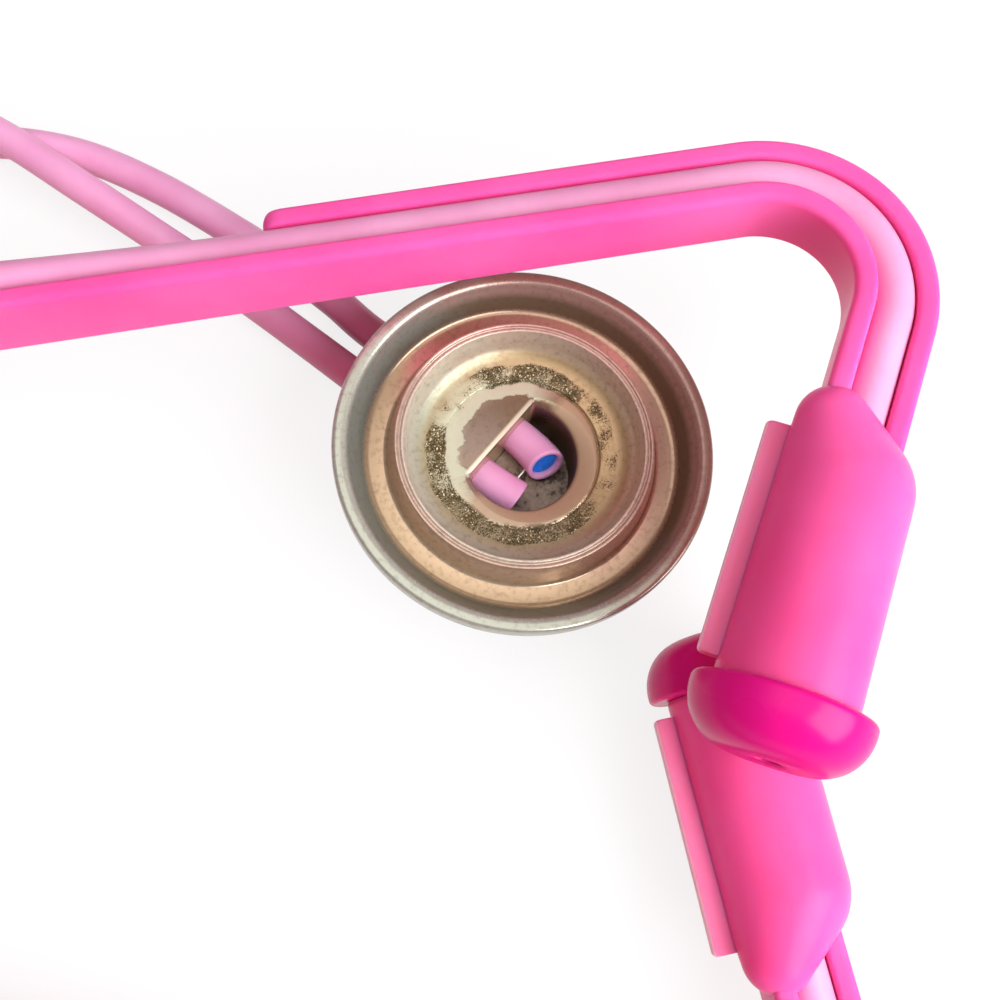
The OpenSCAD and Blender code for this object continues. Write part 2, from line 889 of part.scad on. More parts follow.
module hose_plug(side, lift, yaw) {
  from = pocket_flat - hose_stub - cut_over;
  bell_frame()
    difference() {
      translate([from, side * hose_spacing / 2, hose_z])
        rotate([0, 90, 0])
          cylinder(d = hose_bore - 2 * plug_clear, h = cut_over + plug_depth + plug_len);
      end_cut(side, lift, yaw, plug_depth);
      wire_bar(wire_d + 2 * wire_clear, wire_half + overrun);
    }
}

module lower_hose_end() {
  color("plum")
    hose_end(-1, lower_cut_lift, lower_cut_yaw);
}

module upper_hose_end() {
  color("plum")
    hose_end(1, upper_cut_lift, upper_cut_yaw);
}

module lower_hose_plug() {
  color("royalblue")
    hose_plug(-1, lower_cut_lift, lower_cut_yaw);
}

module upper_hose_plug() {
  color("royalblue")
    hose_plug(1, upper_cut_lift, upper_cut_yaw);
}

module retaining_wire() {
  color("silver")
    bell_frame()
      wire_bar(wire_d, wire_half);
}

lower_arm();
upper_arm();
lower_sleeve();
upper_sleeve();
lower_ear_tip();
upper_ear_tip();
pivot_pin();
pivot_cap();
lower_arm_hose();
upper_arm_hose();
upper_hose_bend();
lower_free_hose();
upper_free_hose();
bell_front();
bell_back();
lower_hose_end();
upper_hose_end();
lower_hose_plug();
upper_hose_plug();
retaining_wire();
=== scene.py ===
import math

import bmesh
import bpy
import numpy as np
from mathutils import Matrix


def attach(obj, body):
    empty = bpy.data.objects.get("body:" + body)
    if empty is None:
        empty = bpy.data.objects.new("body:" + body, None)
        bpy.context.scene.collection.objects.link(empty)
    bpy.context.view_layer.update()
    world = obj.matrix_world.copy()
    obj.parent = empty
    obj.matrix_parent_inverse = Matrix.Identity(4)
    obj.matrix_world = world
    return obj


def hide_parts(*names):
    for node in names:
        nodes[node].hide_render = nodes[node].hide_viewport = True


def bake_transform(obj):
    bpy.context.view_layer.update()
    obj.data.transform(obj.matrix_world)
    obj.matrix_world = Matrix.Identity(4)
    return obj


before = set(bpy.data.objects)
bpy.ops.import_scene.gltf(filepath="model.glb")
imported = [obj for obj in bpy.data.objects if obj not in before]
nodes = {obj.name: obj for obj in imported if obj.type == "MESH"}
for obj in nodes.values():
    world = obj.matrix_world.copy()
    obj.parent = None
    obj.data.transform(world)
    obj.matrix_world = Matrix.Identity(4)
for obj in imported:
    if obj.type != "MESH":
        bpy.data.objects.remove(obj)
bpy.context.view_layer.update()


# Camera: the photograph's own view, a phone held close above the toy and tipped
# 17 degrees back, found by fitting the bell's rim and the two arms.
scene = bpy.context.scene
camera = bpy.data.objects.new("photo_camera", bpy.data.cameras.new("photo_camera"))
camera.data.sensor_width = 36
camera.data.lens = 39.6
camera.data.clip_start = 0.01
camera.location = (0.13711, -0.02555, 0.15214)
camera.rotation_euler = (math.radians(17.45), 0, 0)
scene.collection.objects.link(camera)
scene.camera = camera


# Hoses: two soft pale pink vinyl tubes, 5 mm thick. Each is pressed into its arm's channel,
# leaves it at the root, lies on the table in a loose curve and goes into the bell's hub.
# Shapes are worked out in mm and degrees, and made into metres where a piece is made.
hose_radius, hose_sides = 2.5, 36
hose_height = 4.6                               # middle of a held hose over its arm's underside
root_radius, blade_length = 88, 101.9           # an arm's curved root, then its straight blade
bend_radius, bend_angle = 15.6, 115.6           # the bend at its ear end
upper_sweep, lower_sweep = 54, 49.9             # turn of the two roots
upper_tilt, upper_turn, upper_lift = 5.2985, 6, 11.4
lower_turn, lower_lift = -13.5, 5.7
bell_tilt, bell_spot = 5, (139.028, 24.837, 1.046)
hub_turn = 141                                  # way out of the bell for both hoses
hub_reach, hose_offset, hub_height = 15, 3.9, 5.2


def linear(hex_code):
    """sRGB hex colour as linear RGBA."""
    c = np.array([int(hex_code[i:i + 2], 16) for i in (0, 2, 4)]) / 255
    c = np.where(c <= 0.04045, c / 12.92, ((c + 0.055) / 1.055) ** 2.4)
    return (*c.tolist(), 1.0)


def add(material, kind, inputs, out=0, stops=(), **settings):
    """Adds a node with its settings and ramp stops, fills or links its inputs, and gives one output."""
    n = material.node_tree.nodes.new(kind)
    for key, value in settings.items():
        setattr(n, key, value)
    for i, (place, colour) in enumerate(stops):
        stop = n.color_ramp.elements[i] if i < 2 else n.color_ramp.elements.new(place)
        stop.position = place
        stop.color = linear(colour) if isinstance(colour, str) else (colour, colour, colour, 1.0)
    for key, value in inputs.items():
        if isinstance(value, bpy.types.NodeSocket):
            material.node_tree.links.new(value, n.inputs[key])
        else:
            n.inputs[key].default_value = value
    return n.outputs[out] if len(n.outputs) else n


def bare_material(name):
    """A new material with an empty node tree."""
    m = bpy.data.materials.new(name)
    m.use_nodes = True
    m.node_tree.nodes.clear()
    return m


# Plasticised PVC, extruded: satin, slightly see-through at the surface, with cloudy tone over about 10 mm,
# fine dust of 1 mm and a drawn skin of 0.5 mm; a painted shade turns it dark red towards the bell.
BY, FROM, TO, MIXED = 0, 6, 7, 2                # sockets of a Mix node that mixes colours
vinyl = bare_material("plasticised_pvc_extruded")
where = add(vinyl, "ShaderNodeTexCoord", {}, "Object")
cloud = add(vinyl, "ShaderNodeTexNoise", {"Vector": where, "Scale": 1 / 0.010, "Detail": 3})
dust = add(vinyl, "ShaderNodeTexNoise", {"Vector": where, "Scale": 1 / 0.001, "Detail": 4})
skin = add(vinyl, "ShaderNodeTexNoise", {"Vector": where, "Scale": 1 / 0.0005, "Detail": 2})
tone = add(vinyl, "ShaderNodeValToRGB", {0: cloud}, stops=[(0.3, "EEA0CC"), (0.7, "F6B2DA")])
dusty = add(vinyl, "ShaderNodeMath", {0: dust, 1: 0.14}, operation="MULTIPLY")
tone = add(vinyl, "ShaderNodeMix", {BY: dusty, FROM: tone, TO: linear("C88CA6")}, MIXED, data_type="RGBA")
# Painted shade: the free hoses turn dark red over their last 40 mm by the bell; the hoses in the arms take a
# slight even tint of it.
tint_and_shade = add(vinyl, "ShaderNodeAttribute", {}, "Fac", attribute_name="tint_and_painted_shade")
tone = add(vinyl, "ShaderNodeMix", {BY: tint_and_shade, FROM: tone, TO: linear("B84A68")}, MIXED, data_type="RGBA")
relief = add(vinyl, "ShaderNodeBump", {"Height": skin, "Distance": 0.00004, "Strength": 0.4})
look = add(vinyl, "ShaderNodeBsdfPrincipled", {
    "Base Color": tone, "Normal": relief, "Roughness": 0.4, "Specular IOR Level": 0.45,
    "Subsurface Weight": 0.2, "Subsurface Radius": (0.004, 0.0016, 0.0024), "Subsurface Scale": 0.5})
add(vinyl, "ShaderNodeOutputMaterial", {0: look})


def shell(grid, ring=False):
    """Points, side faces and end faces of rings of points; with ring, the last ring joins the first."""
    n, k = grid.shape[:2]
    i, j = np.meshgrid(np.arange(n if ring else n - 1), np.arange(k), indexing="ij")
    here, there, beside = i * k, (i + 1) % n * k, (j + 1) % k
    quads = np.stack([here + j, here + beside, there + beside, there + j], axis=-1).reshape(-1, 4)
    ends = [] if ring else [np.arange(k)[::-1], np.arange((n - 1) * k, n * k)]
    return grid.reshape(-1, 3), quads, ends


def piece(name, shells, material, sharp=38):
    """One object from closed shells in mm, faces turned outward, smooth up to the sharp angle."""
    points, faces = np.empty((0, 3)), []
    for more, quads, ends in shells:
        faces += (quads + len(points)).tolist() + [(end + len(points)).tolist() for end in ends]
        points = np.concatenate([points, more])
    mesh = bpy.data.meshes.new(name)
    mesh.from_pydata((points / 1000).tolist(), [], faces)
    bm = bmesh.new()
    bm.from_mesh(mesh)
    bmesh.ops.recalc_face_normals(bm, faces=bm.faces)
    bm.to_mesh(mesh)
    bm.free()
    mesh.shade_smooth()
    mesh.set_sharp_from_angle(angle=math.radians(sharp))
    mesh.materials.append(material)
    o = bpy.data.objects.new(name, mesh)
    scene.collection.objects.link(o)
    return o


def mark(o, name, values):
    """Writes a number or a vector on each point of a piece, for its material to read."""
    kind, field = ("FLOAT", "value") if values.ndim == 1 else ("FLOAT_VECTOR", "vector")
    o.data.attributes.new(name, kind, "POINT").data.foreach_set(field, values.ravel().astype(np.float32))


def strides(p):
    """Distances between neighbouring points of a line."""
    return np.linalg.norm(np.diff(p, axis=0), axis=1)


def unit(v):
    """Vectors scaled to a length of 1."""
    return v / np.linalg.norm(v, axis=-1, keepdims=True)


def headings(p, first=None, last=None):
    """Unit directions along a line of points, by central differences, with given end directions."""
    d = np.gradient(p, axis=0)
    if first is not None:
        d[0] = first
    if last is not None:
        d[-1] = last
    return unit(d)


def route(points, first, last, steps=10):
    """Smooth line through route points: Catmull-Rom spans, the ends set by the first and last directions."""
    p = np.array(points, float)
    before = p[1] - 2 * np.linalg.norm(p[1] - p[0]) * first
    after = p[-2] + 2 * np.linalg.norm(p[-1] - p[-2]) * last
    r = np.concatenate([[before], p, [after]])
    f = (np.arange(steps) / steps)[None, :, None]
    p0, p1, p2, p3 = (r[i:len(r) - 3 + i, None, :] for i in range(4))
    spans = (2 * p1 + (p2 - p0) * f + (2 * p0 - 5 * p1 + 4 * p2 - p3) * f ** 2
             + (3 * p1 - p0 - 3 * p2 + p3) * f ** 3) / 2
    return np.concatenate([spans.reshape(-1, 3), p[-1:]])


def all_round(count):
    """Even angles round a circle."""
    return np.linspace(0, 2 * np.pi, count, endpoint=False)


def square_to(d):
    """For each direction, the level direction and the upper direction square to it."""
    side = unit(np.cross([0, 0, 1], d))
    return side, np.cross(d, side)


def rings(side, top, count):
    """Circles of radius 1: cos a side + sin a top, for the angles a all round."""
    a = all_round(count)[None, :, None]
    return side[:, None] * np.cos(a) + top[:, None] * np.sin(a)


def tube(p, d, radius=hose_radius, sides=hose_sides):
    """Rings of a round tube: each point of the line plus radius times a circle square to its direction."""
    return p[:, None] + radius * rings(*square_to(d), sides)


def turn(angle):
    """Cosine and sine of an angle in degrees."""
    return math.cos(math.radians(angle)), math.sin(math.radians(angle))


def spin(p, angle):
    """Points turned about Z."""
    c, s = turn(angle)
    return np.stack([p[..., 0] * c - p[..., 1] * s, p[..., 0] * s + p[..., 1] * c, p[..., 2]], axis=-1)


def upper_pose(p):
    """Upper arm's own frame to the part's: tilted up about Y, turned about Z, lifted."""
    c, s = turn(upper_tilt)
    tilted = np.stack([p[..., 0] * c - p[..., 2] * s, p[..., 1], p[..., 0] * s + p[..., 2] * c], axis=-1)
    return spin(tilted, upper_turn) + [0, 0, upper_lift]


def lower_pose(p):
    """Lower arm's own frame to the part's: mirrored in Y, turned about Z, lifted."""
    return spin(p * [1, -1, 1], lower_turn) + [0, 0, lower_lift]


def bell_pose(p):
    """Bell's own frame to the part's: tilted about Y on its spot on the table."""
    c, s = turn(bell_tilt)
    tilted = np.stack([p[..., 0] * c + p[..., 2] * s, p[..., 1], p[..., 2] * c - p[..., 0] * s], axis=-1)
    return tilted + bell_spot


def hub_pose(p):
    """Hoses' frame in the bell, +X out along them, to the part's."""
    return bell_pose(spin(p, hub_turn))


def root_line(sweep, share, height):
    """Points of an arm's curved root at shares of its turn, from blade to pivot, in the arm's frame."""
    c, s = turn(sweep)
    a = np.radians(share * sweep)
    return np.stack([root_radius * (s - np.sin(a)), root_radius * (np.cos(a) - c), height], axis=-1)


def bend_centre(sweep):
    """Centre of the bend in the arm's frame, on its underside."""
    c, s = turn(sweep)
    return np.array([root_radius * s + blade_length, root_radius - root_radius * c - bend_radius, 0])


def held_line(sweep):
    """Hose line in the channel, from the ear end: 39.7 mm of tail, the bend, then 61 mm of the blade."""
    tail_length, blade_run = 39.7, 61
    centre = bend_centre(sweep) + [0, 0, hose_height]
    a = np.radians(np.linspace(bend_angle, 0, 41))
    bend = centre + bend_radius * np.stack([np.sin(a), np.cos(a), 0 * a], axis=-1)
    c, s = turn(bend_angle)
    tail = bend[:1] - np.linspace(tail_length, 2, 8)[:, None] * [-c, s, 0]
    x = -np.linspace(3, blade_run, 14)
    blade = centre + np.stack([x, np.full(len(x), bend_radius), 0 * x], axis=-1)
    return np.concatenate([tail, bend, blade])


def ease(start, slope, end, q):
    """Cubic curve from a start with a slope to an end that is level, at shares q."""
    return ((2 * q ** 3 - 3 * q ** 2 + 1) * start + (q ** 3 - 2 * q ** 2 + q) * slope
            + (3 * q ** 2 - 2 * q ** 3) * end)


def shade_near_bell(p):
    """Painted shade on a free hose, point by point: darkest in its last 12 mm, none 40 mm from its end."""
    most, darkest_reach, shade_reach = 0.8, 12, 40
    left = np.append(strides(p[::-1]).cumsum()[::-1], 0)
    return np.repeat(most * np.clip((shade_reach - left) / (shade_reach - darkest_reach), 0, 1), hose_sides)


# Upper hose: out of the channel it climbs to run over the arm's root, and ends on the pivot's axis.
held_tint = 0.16                                 # even tint of the painted shade's dark red on the hoses in the arms
climb_run, climb_rise, climb_power = 40, 2.4, 1.5
root_run, over_pivot, pivot_shift = 82.94, 5.676, 0.5264
up = np.arange(climb_run) / climb_run
climb = root_line(upper_sweep, 0 * up, hose_height + climb_rise * up ** climb_power)
climb[:, 0] += climb_run * (1 - up)
q = np.linspace(0, 1, 61)
slope = climb_power * climb_rise / climb_run * root_run
over = root_line(upper_sweep, q, ease(hose_height + climb_rise, slope, over_pivot, q))
over[:, 0] += pivot_shift * q * q
line = upper_pose(np.concatenate([held_line(upper_sweep), climb, over]))
upper_out = np.array([*turn(180 + upper_sweep + upper_turn), 0])
upper_held = piece("upper_hose_in_arm", [shell(tube(line, headings(line, last=upper_out)))], vinyl)
mark(upper_held, "tint_and_painted_shade", np.full(len(line) * hose_sides, held_tint))
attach(upper_held, "swing_arm")
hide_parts("upper_arm_hose")

into_bell = hub_pose(np.array([-1, 0, 0])) - hub_pose(np.zeros(3))
upper_points = [
    [0, 0, 17.1], [-8, -9.5, 16.6], [-18.5, -15.5, 13.3], [-31, -17.5, 8], [-46, -14, 4], [-58, -3.5, 2.6],
    [-64.5, 11, 2.6], [-64.5, 26, 2.6], [-58, 39.5, 2.6], [-46, 49, 2.6], [-25, 60.5, 2.6],
    [-3, 72, 2.6], [17, 82.5, 3.2], [31, 87.3, 5.8], [46, 86, 7.8], [60.5, 78.5, 7.8],
    [73.5, 69.8, 7.4], [85.5, 62.5, 4.4], [93.8, 57.2, 3], [101, 52, 2.6], [108.2, 46.3, 3],
    [115.4, 40.1, 4.7], hub_pose(np.array([hub_reach, hose_offset, hub_height]))]
line = route(upper_points, upper_out, into_bell)
aim = headings(line, upper_out, into_bell)
flexing = 30                                    # points of the line that go into the piece over the pivot
flex = piece("upper_hose_over_pivot", [shell(tube(line[:flexing + 1], aim[:flexing + 1]))], vinyl)
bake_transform(flex)
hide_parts("upper_hose_bend")
line, aim = line[flexing:], aim[flexing:]
free = piece("upper_hose_free", [shell(tube(line, aim))], vinyl)
mark(free, "tint_and_painted_shade", shade_near_bell(line))
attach(free, "frame")
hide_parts("upper_free_hose")

# Lower hose: it stays low in the channel and leaves it part of the way round the root.
leaves_at = 24.4
root_share = np.linspace(0, leaves_at, 25) / lower_sweep
held = root_line(lower_sweep, root_share, np.full(len(root_share), hose_height))
blade_end = held[:1] + np.linspace(38, 4, 8)[:, None] * [1, 0, 0]
line = lower_pose(np.concatenate([held_line(lower_sweep), blade_end, held]))
lower_out = np.array([*turn(180 - leaves_at + lower_turn), 0])
lower_held = piece("lower_hose_in_arm", [shell(tube(line, headings(line, last=lower_out)))], vinyl)
mark(lower_held, "tint_and_painted_shade", np.full(len(line) * hose_sides, held_tint))
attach(lower_held, "frame")
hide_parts("lower_arm_hose")

lower_points = [
    line[-1], [15.5, -24.5, 10.5], [5.5, -19.3, 9.4], [-4, -13, 7.2], [-12, -5.4, 5.1], [-15.3, 5.5, 3.6],
    [-16, 18, 2.7], [-13.5, 32, 2.6], [-7.5, 45.5, 2.6], [2, 58, 2.6], [14, 68.5, 2.6],
    [28, 76.3, 2.6], [43, 80.2, 2.6], [57, 81, 2.6], [70.5, 78.7, 2.6], [83.5, 72.8, 2.6],
    [97, 64.3, 2.6], [105, 58.6, 2.6], [112, 53, 2.8], [118.6, 46.6, 4],
    hub_pose(np.array([hub_reach, -hose_offset, hub_height]))]
line = route(lower_points, lower_out, into_bell)
free = piece("lower_hose_free", [shell(tube(line, headings(line, lower_out, into_bell)))], vinyl)
mark(free, "tint_and_painted_shade", shade_near_bell(line))
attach(free, "frame")
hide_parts("lower_free_hose")


# Arms: two glossy pink injection mouldings, mirror images, crossing on the pivot pin. Each is an
# open channel with a tall inner wall, an outer wall on its far half, a bend and a round lug.
def fillet(corners, radius, steps=4):
    """Rounds each corner of closed outlines by a quadratic arc between points radius away from it."""
    back, ahead = np.roll(corners, 1, axis=1) - corners, np.roll(corners, -1, axis=1) - corners
    sizes = [np.linalg.norm(v, axis=-1, keepdims=True) for v in (back, ahead)]
    reach = np.minimum(np.array(radius)[None, :, None], 0.45 * np.minimum(*sizes))
    a, b = corners + back / sizes[0] * reach, corners + ahead / sizes[1] * reach
    f = (np.arange(steps + 1) / steps)[None, None, :, None]
    arcs = (1 - f) ** 2 * a[:, :, None] + 2 * f * (1 - f) * corners[:, :, None] + f ** 2 * b[:, :, None]
    return arcs.reshape(len(corners), -1, 2)


def outlines(stations, corners):
    """One closed outline for each station, from corners whose two measures are numbers or one per station."""
    return np.stack([np.stack([0 * stations + u, 0 * stations + v], axis=-1) for u, v in corners], axis=1)


def rounded_start(run, radius):
    """Height of a quarter circle over its run: upright at 0, level from radius on."""
    return np.sqrt(np.clip(radius ** 2 - (radius - np.clip(run, 0, radius)) ** 2, 0, None))


def arm_shell(sweep):
    """Channel section along root arc, blade, bend and tail: at each station a rounded outline of bottom
    drop, inner wall height, outer edge and outer wall height, laid across the station's direction."""
    lug_reach, tail_end, drop = 6.2, 20.9, 2.5
    channel_floor, wall_face, inner_back, outer_back = 2, 2.6, 5.3, 5.2
    inner_start, inner_height, inner_stub = 13.2, 9.2, 2.05
    outer_start, outer_height, outer_edge, stub_edge, stub_lip = 40.5, 6.3, 1.4, 2.9, 2.85
    wall_round = 3

    near = math.degrees(math.asin(lug_reach / root_radius)) / sweep
    share = np.concatenate([1 - near - np.array([0, 0.02, 0.06]), np.linspace(0.9, 0.02, 44)])
    root = np.radians(share * sweep)
    x = np.concatenate([np.linspace(0, 38, 12), np.linspace(50, 100, 10),
                        outer_start + np.array([-0.3, 0, 0.05, 0.2, 0.4, 0.7, 1.1, 1.5, 2.2, 3])])
    x = np.sort(x)
    bend = np.radians(np.linspace(0, bend_angle, 61))
    t = np.linspace(1, tail_end, 6)
    c, s = turn(sweep)
    along, out = np.array(turn(-bend_angle)), np.array(turn(90 - bend_angle))
    centre = bend_centre(sweep)[:2]
    round_bend = np.stack([np.sin(bend), np.cos(bend)], axis=-1)
    place = np.concatenate([
        root_line(sweep, share, 0 * share)[:, :2],
        np.stack([root_radius * s + x, np.full(len(x), root_radius - root_radius * c)], axis=-1),
        centre + bend_radius * round_bend, centre + bend_radius * out + t[:, None] * along])
    across = np.concatenate([
        np.stack([-np.sin(root), np.cos(root)], axis=-1), np.tile([0.0, 1.0], (len(x), 1)),
        round_bend, np.tile(out, (len(t), 1))])

    bend_run = blade_length + bend_radius * bend
    far = np.concatenate([-root_radius * root, x, bend_run, bend_run[-1] + t])
    low = -drop * np.clip(1 - far / blade_length, 0, 1)
    past_lug = np.radians(sweep) * root_radius + far - inner_start
    inner = inner_height - wall_round + rounded_start(past_lug, wall_round)
    inner = np.where(past_lug < 0, inner_stub, inner)
    started = far > outer_start - 0.05
    wall = far - outer_start
    outer = np.where(started, outer_height - wall_round + rounded_start(wall, wall_round), channel_floor)
    edge = np.where(started, outer_back - outer_edge + rounded_start(wall, outer_edge), stub_edge)
    lip = np.where(started, wall_face, stub_lip)
    corners = outlines(far, [
        (-inner_back, low), (edge, low), (edge, outer), (lip, outer), (lip - 0.02, channel_floor),
        (-wall_face, channel_floor), (-wall_face, inner), (-inner_back, inner)])
    section = fillet(corners, [0.6, 0.6, 1.0, 0.7, 0.3, 0.3, 0.8, 1.1], 6)
    flat = place[:, None] + across[:, None] * section[..., :1]
    return np.concatenate([flat, section[..., 1:]], axis=-1)


def turned_shell(profile, sides=96):
    """Closed profile of (radius, height) points turned about the Z axis."""
    a = all_round(sides)
    p = np.array(profile)[:, None]
    return np.stack([p[..., 0] * np.cos(a), p[..., 0] * np.sin(a), p[..., 1] + 0 * a], axis=-1)


def lug_shell(base):
    """Ring round the pivot: a rectangle with rounded corners turned about Z, its underside at base."""
    bore, rim, thick, rounding = 3.05, 9.5, 4.5, 0.5
    corners = np.array([[[bore, base], [rim, base], [rim, base + thick], [bore, base + thick]]])
    return turned_shell(fillet(corners, np.full(4, rounding), 5)[0])


# Pink polypropylene, injection moulded: half gloss, lets a little red light through, with flow streaks of
# about 20 mm, handling scuffs of 1 mm that dull the gloss, and a faint sink ripple of 4 mm.
pink = bare_material("pink_polypropylene_moulded")
where = add(pink, "ShaderNodeTexCoord", {}, "Object")
flow = add(pink, "ShaderNodeTexNoise", {"Vector": where, "Scale": 1 / 0.020, "Detail": 2})
scuff = add(pink, "ShaderNodeTexNoise", {"Vector": where, "Scale": 1 / 0.001, "Detail": 5, "Roughness": 0.7})
ripple = add(pink, "ShaderNodeTexNoise", {"Vector": where, "Scale": 1 / 0.004, "Detail": 3})
tone = add(pink, "ShaderNodeValToRGB", {0: flow}, stops=[(0.3, "FC56A2"), (0.7, "FF68B0")])
gloss = add(pink, "ShaderNodeMath", {0: scuff, 1: 0.16, 2: 0.24}, operation="MULTIPLY_ADD")
relief = add(pink, "ShaderNodeBump", {"Height": ripple, "Distance": 0.00008, "Strength": 0.35})
look = add(pink, "ShaderNodeBsdfPrincipled", {
    "Base Color": tone, "Normal": relief, "Roughness": gloss, "IOR": 1.2,
    "Subsurface Weight": 0.7, "Subsurface Radius": (0.002, 0.0004, 0.0008), "Subsurface Scale": 1.0})
add(pink, "ShaderNodeOutputMaterial", {0: look})

for name, pose, sweep, lug_base, body in (("lower_arm", lower_pose, lower_sweep, 3.2, "frame"),
                                          ("upper_arm", upper_pose, upper_sweep, 7.9, "swing_arm")):
    channel, lug = shell(pose(arm_shell(sweep))), shell(lug_shell(lug_base), ring=True)
    arm = piece(name + "_moulding", [channel, lug], pink)
    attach(arm, body)
    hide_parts(name)


# Sleeves: domed glossy pink mouldings pushed over the arms' bent tails. A round oblique nose grows
# into a slightly flared barrel, with one flat flange strip down its inner side.
barrel_start, barrel_end = 21.6, 46.2           # along the tail from the end of the bend


def ear_pose(p, sweep):
    """End of the bend, +X along the tail and +Y to the outside, to the arm's frame."""
    return spin(p + [0, bend_radius, 0], -bend_angle) + bend_centre(sweep)


def sleeve_shell():
    """Envelope of balls from a 4.3 mm nose to the 7.9 mm barrel: in each cross plane, the farthest
    reach of any ball along each ray from the middle line; then the barrel to its 8.1 mm end."""
    nose_at, nose_radius, sides = np.array([14.5, -3.4, 6.6]), 4.3, 96
    wide_at, wide_radius, end_radius = np.array([barrel_start, 0, hose_height]), 7.9, 8.1
    dome_start, dome_length, crowding, middle_start = 10.205, 11.39, 1.8, 11.3
    ray = np.stack([np.cos(all_round(sides)), np.sin(all_round(sides))], axis=-1)

    f = np.linspace(0, 1, 50)[:, None]
    centre = nose_at * (1 - f) + wide_at * f
    size = nose_radius + (wide_radius - nose_radius) * f[:, 0]
    x = dome_start + dome_length * np.linspace(0, 1, 60) ** crowding
    share = np.clip((x - middle_start) / (barrel_start - middle_start), 0, 1)[:, None]
    middle = nose_at[1:] * (1 - share) + wide_at[1:] * share
    cut = (size[None] ** 2 - (x[:, None] - centre[None, :, 0]) ** 2)[..., None]
    d = centre[None, :, 1:] - middle[:, None]
    along = np.einsum("xbc,ac->xba", d, ray)
    inside = cut - (d ** 2).sum(-1)[..., None] + along ** 2
    reach = np.where((inside > 0) & (cut > 0), along + np.sqrt(np.clip(inside, 0, None)), 0)
    reach = np.maximum(reach.max(axis=1), 0.02)[..., None]
    dome = np.concatenate([np.tile(x[:, None, None], (1, sides, 1)), middle[:, None] + reach * ray], axis=-1)

    run = np.array([22.8, 27, 33, 39, 44, 45.4, 45.9, 46.15, barrel_end])
    rounding = np.array([0, 0, 0, 0, 0, 0, 0.06, 0.2, 0.5])
    wide = np.interp(run, [barrel_start, barrel_end], [wide_radius, end_radius]) - rounding
    barrel = np.concatenate([np.tile(run[:, None, None], (1, sides, 1)),
                             [0, hose_height] + wide[:, None, None] * ray], axis=-1)
    return np.concatenate([dome, barrel])


def flange_shell():
    """Flat strip with rounded corners, from its outer edge to inside the barrel, 2 mm thick, 28.4 mm long."""
    start, end, outside, inside, bottom, top, rounding = 15.8, 44.2, -10.5, -6, 3.6, 5.6, 0.5
    a = np.linspace(0, np.pi / 2, 8)
    x = np.concatenate([start + rounding * (1 - np.cos(a)), np.linspace(18, 43, 8),
                        end - rounding * (1 - np.cos(np.linspace(np.pi / 2, 0, 6)))])
    edge = outside + 2 * rounding - rounded_start(x - start, rounding) - rounded_start(end - x, rounding)
    section = fillet(outlines(x, [(edge, bottom), (inside, bottom), (inside, top), (edge, top)]),
                     [0.6, 0.1, 0.1, 0.6])
    return np.concatenate([np.tile(x[:, None, None], (1, section.shape[1], 1)), section], axis=-1)


# Rose polypropylene, injection moulded: as the arms but a little redder, so shaded sides turn crimson;
# tone drifts over 16 mm and the skin has a ripple of 3 mm. The flange is painted paler, a painted glow of
# light through the thin strip, with a painted highlight along its edge.
rose = bare_material("rose_polypropylene_moulded")
where = add(rose, "ShaderNodeTexCoord", {}, "Object")
drift = add(rose, "ShaderNodeTexNoise", {"Vector": where, "Scale": 1 / 0.016, "Detail": 2})
ripple = add(rose, "ShaderNodeTexNoise", {"Vector": where, "Scale": 1 / 0.003, "Detail": 3})
tone = add(rose, "ShaderNodeValToRGB", {0: drift}, stops=[(0.3, "FC5098"), (0.7, "FF62A8")])
painted_flange_light = add(rose, "ShaderNodeAttribute", {}, "Fac", attribute_name="painted_flange_light")
# Painted glow: the flange turns paler towards its outer edge.
tone = add(rose, "ShaderNodeMix", {BY: painted_flange_light, FROM: tone, TO: linear("FF8CB2")}, MIXED, data_type="RGBA")
# Painted highlight: a near white line along the flange's outer edge.
edge = add(rose, "ShaderNodeValToRGB", {0: painted_flange_light}, stops=[(0.93, 0.0), (0.98, 0.7)])
tone = add(rose, "ShaderNodeMix", {BY: edge, FROM: tone, TO: linear("FFDCE4")}, MIXED, data_type="RGBA")
gloss = add(rose, "ShaderNodeMath", {0: drift, 1: 0.12, 2: 0.24}, operation="MULTIPLY_ADD")
relief = add(rose, "ShaderNodeBump", {"Height": ripple, "Distance": 0.00008, "Strength": 0.35})
look = add(rose, "ShaderNodeBsdfPrincipled", {
    "Base Color": tone, "Normal": relief, "Roughness": gloss, "IOR": 1.2,
    "Subsurface Weight": 0.7, "Subsurface Radius": (0.002, 0.0003, 0.0006), "Subsurface Scale": 1.0})
add(rose, "ShaderNodeOutputMaterial", {0: look})

pale_from, pale_over = 7, 3.4                   # out from the barrel's axis
for name, pose, sweep, body in (("lower_sleeve", lower_pose, lower_sweep, "frame"),
                                ("upper_sleeve", upper_pose, upper_sweep, "swing_arm")):
    dome, strip = sleeve_shell(), flange_shell()
    sleeve = piece(name + "_moulding", [shell(pose(ear_pose(g, sweep))) for g in (dome, strip)], rose)
    # Painted glow and highlight: the flange's share rises from 7 mm out from the barrel's axis to its edge.
    paler = np.clip((-strip[..., 1].ravel() - pale_from) / pale_over, 0, 1)
    mark(sleeve, "painted_flange_light", np.concatenate([np.zeros(dome.size // 3), paler]))
    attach(sleeve, body)
    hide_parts(name)


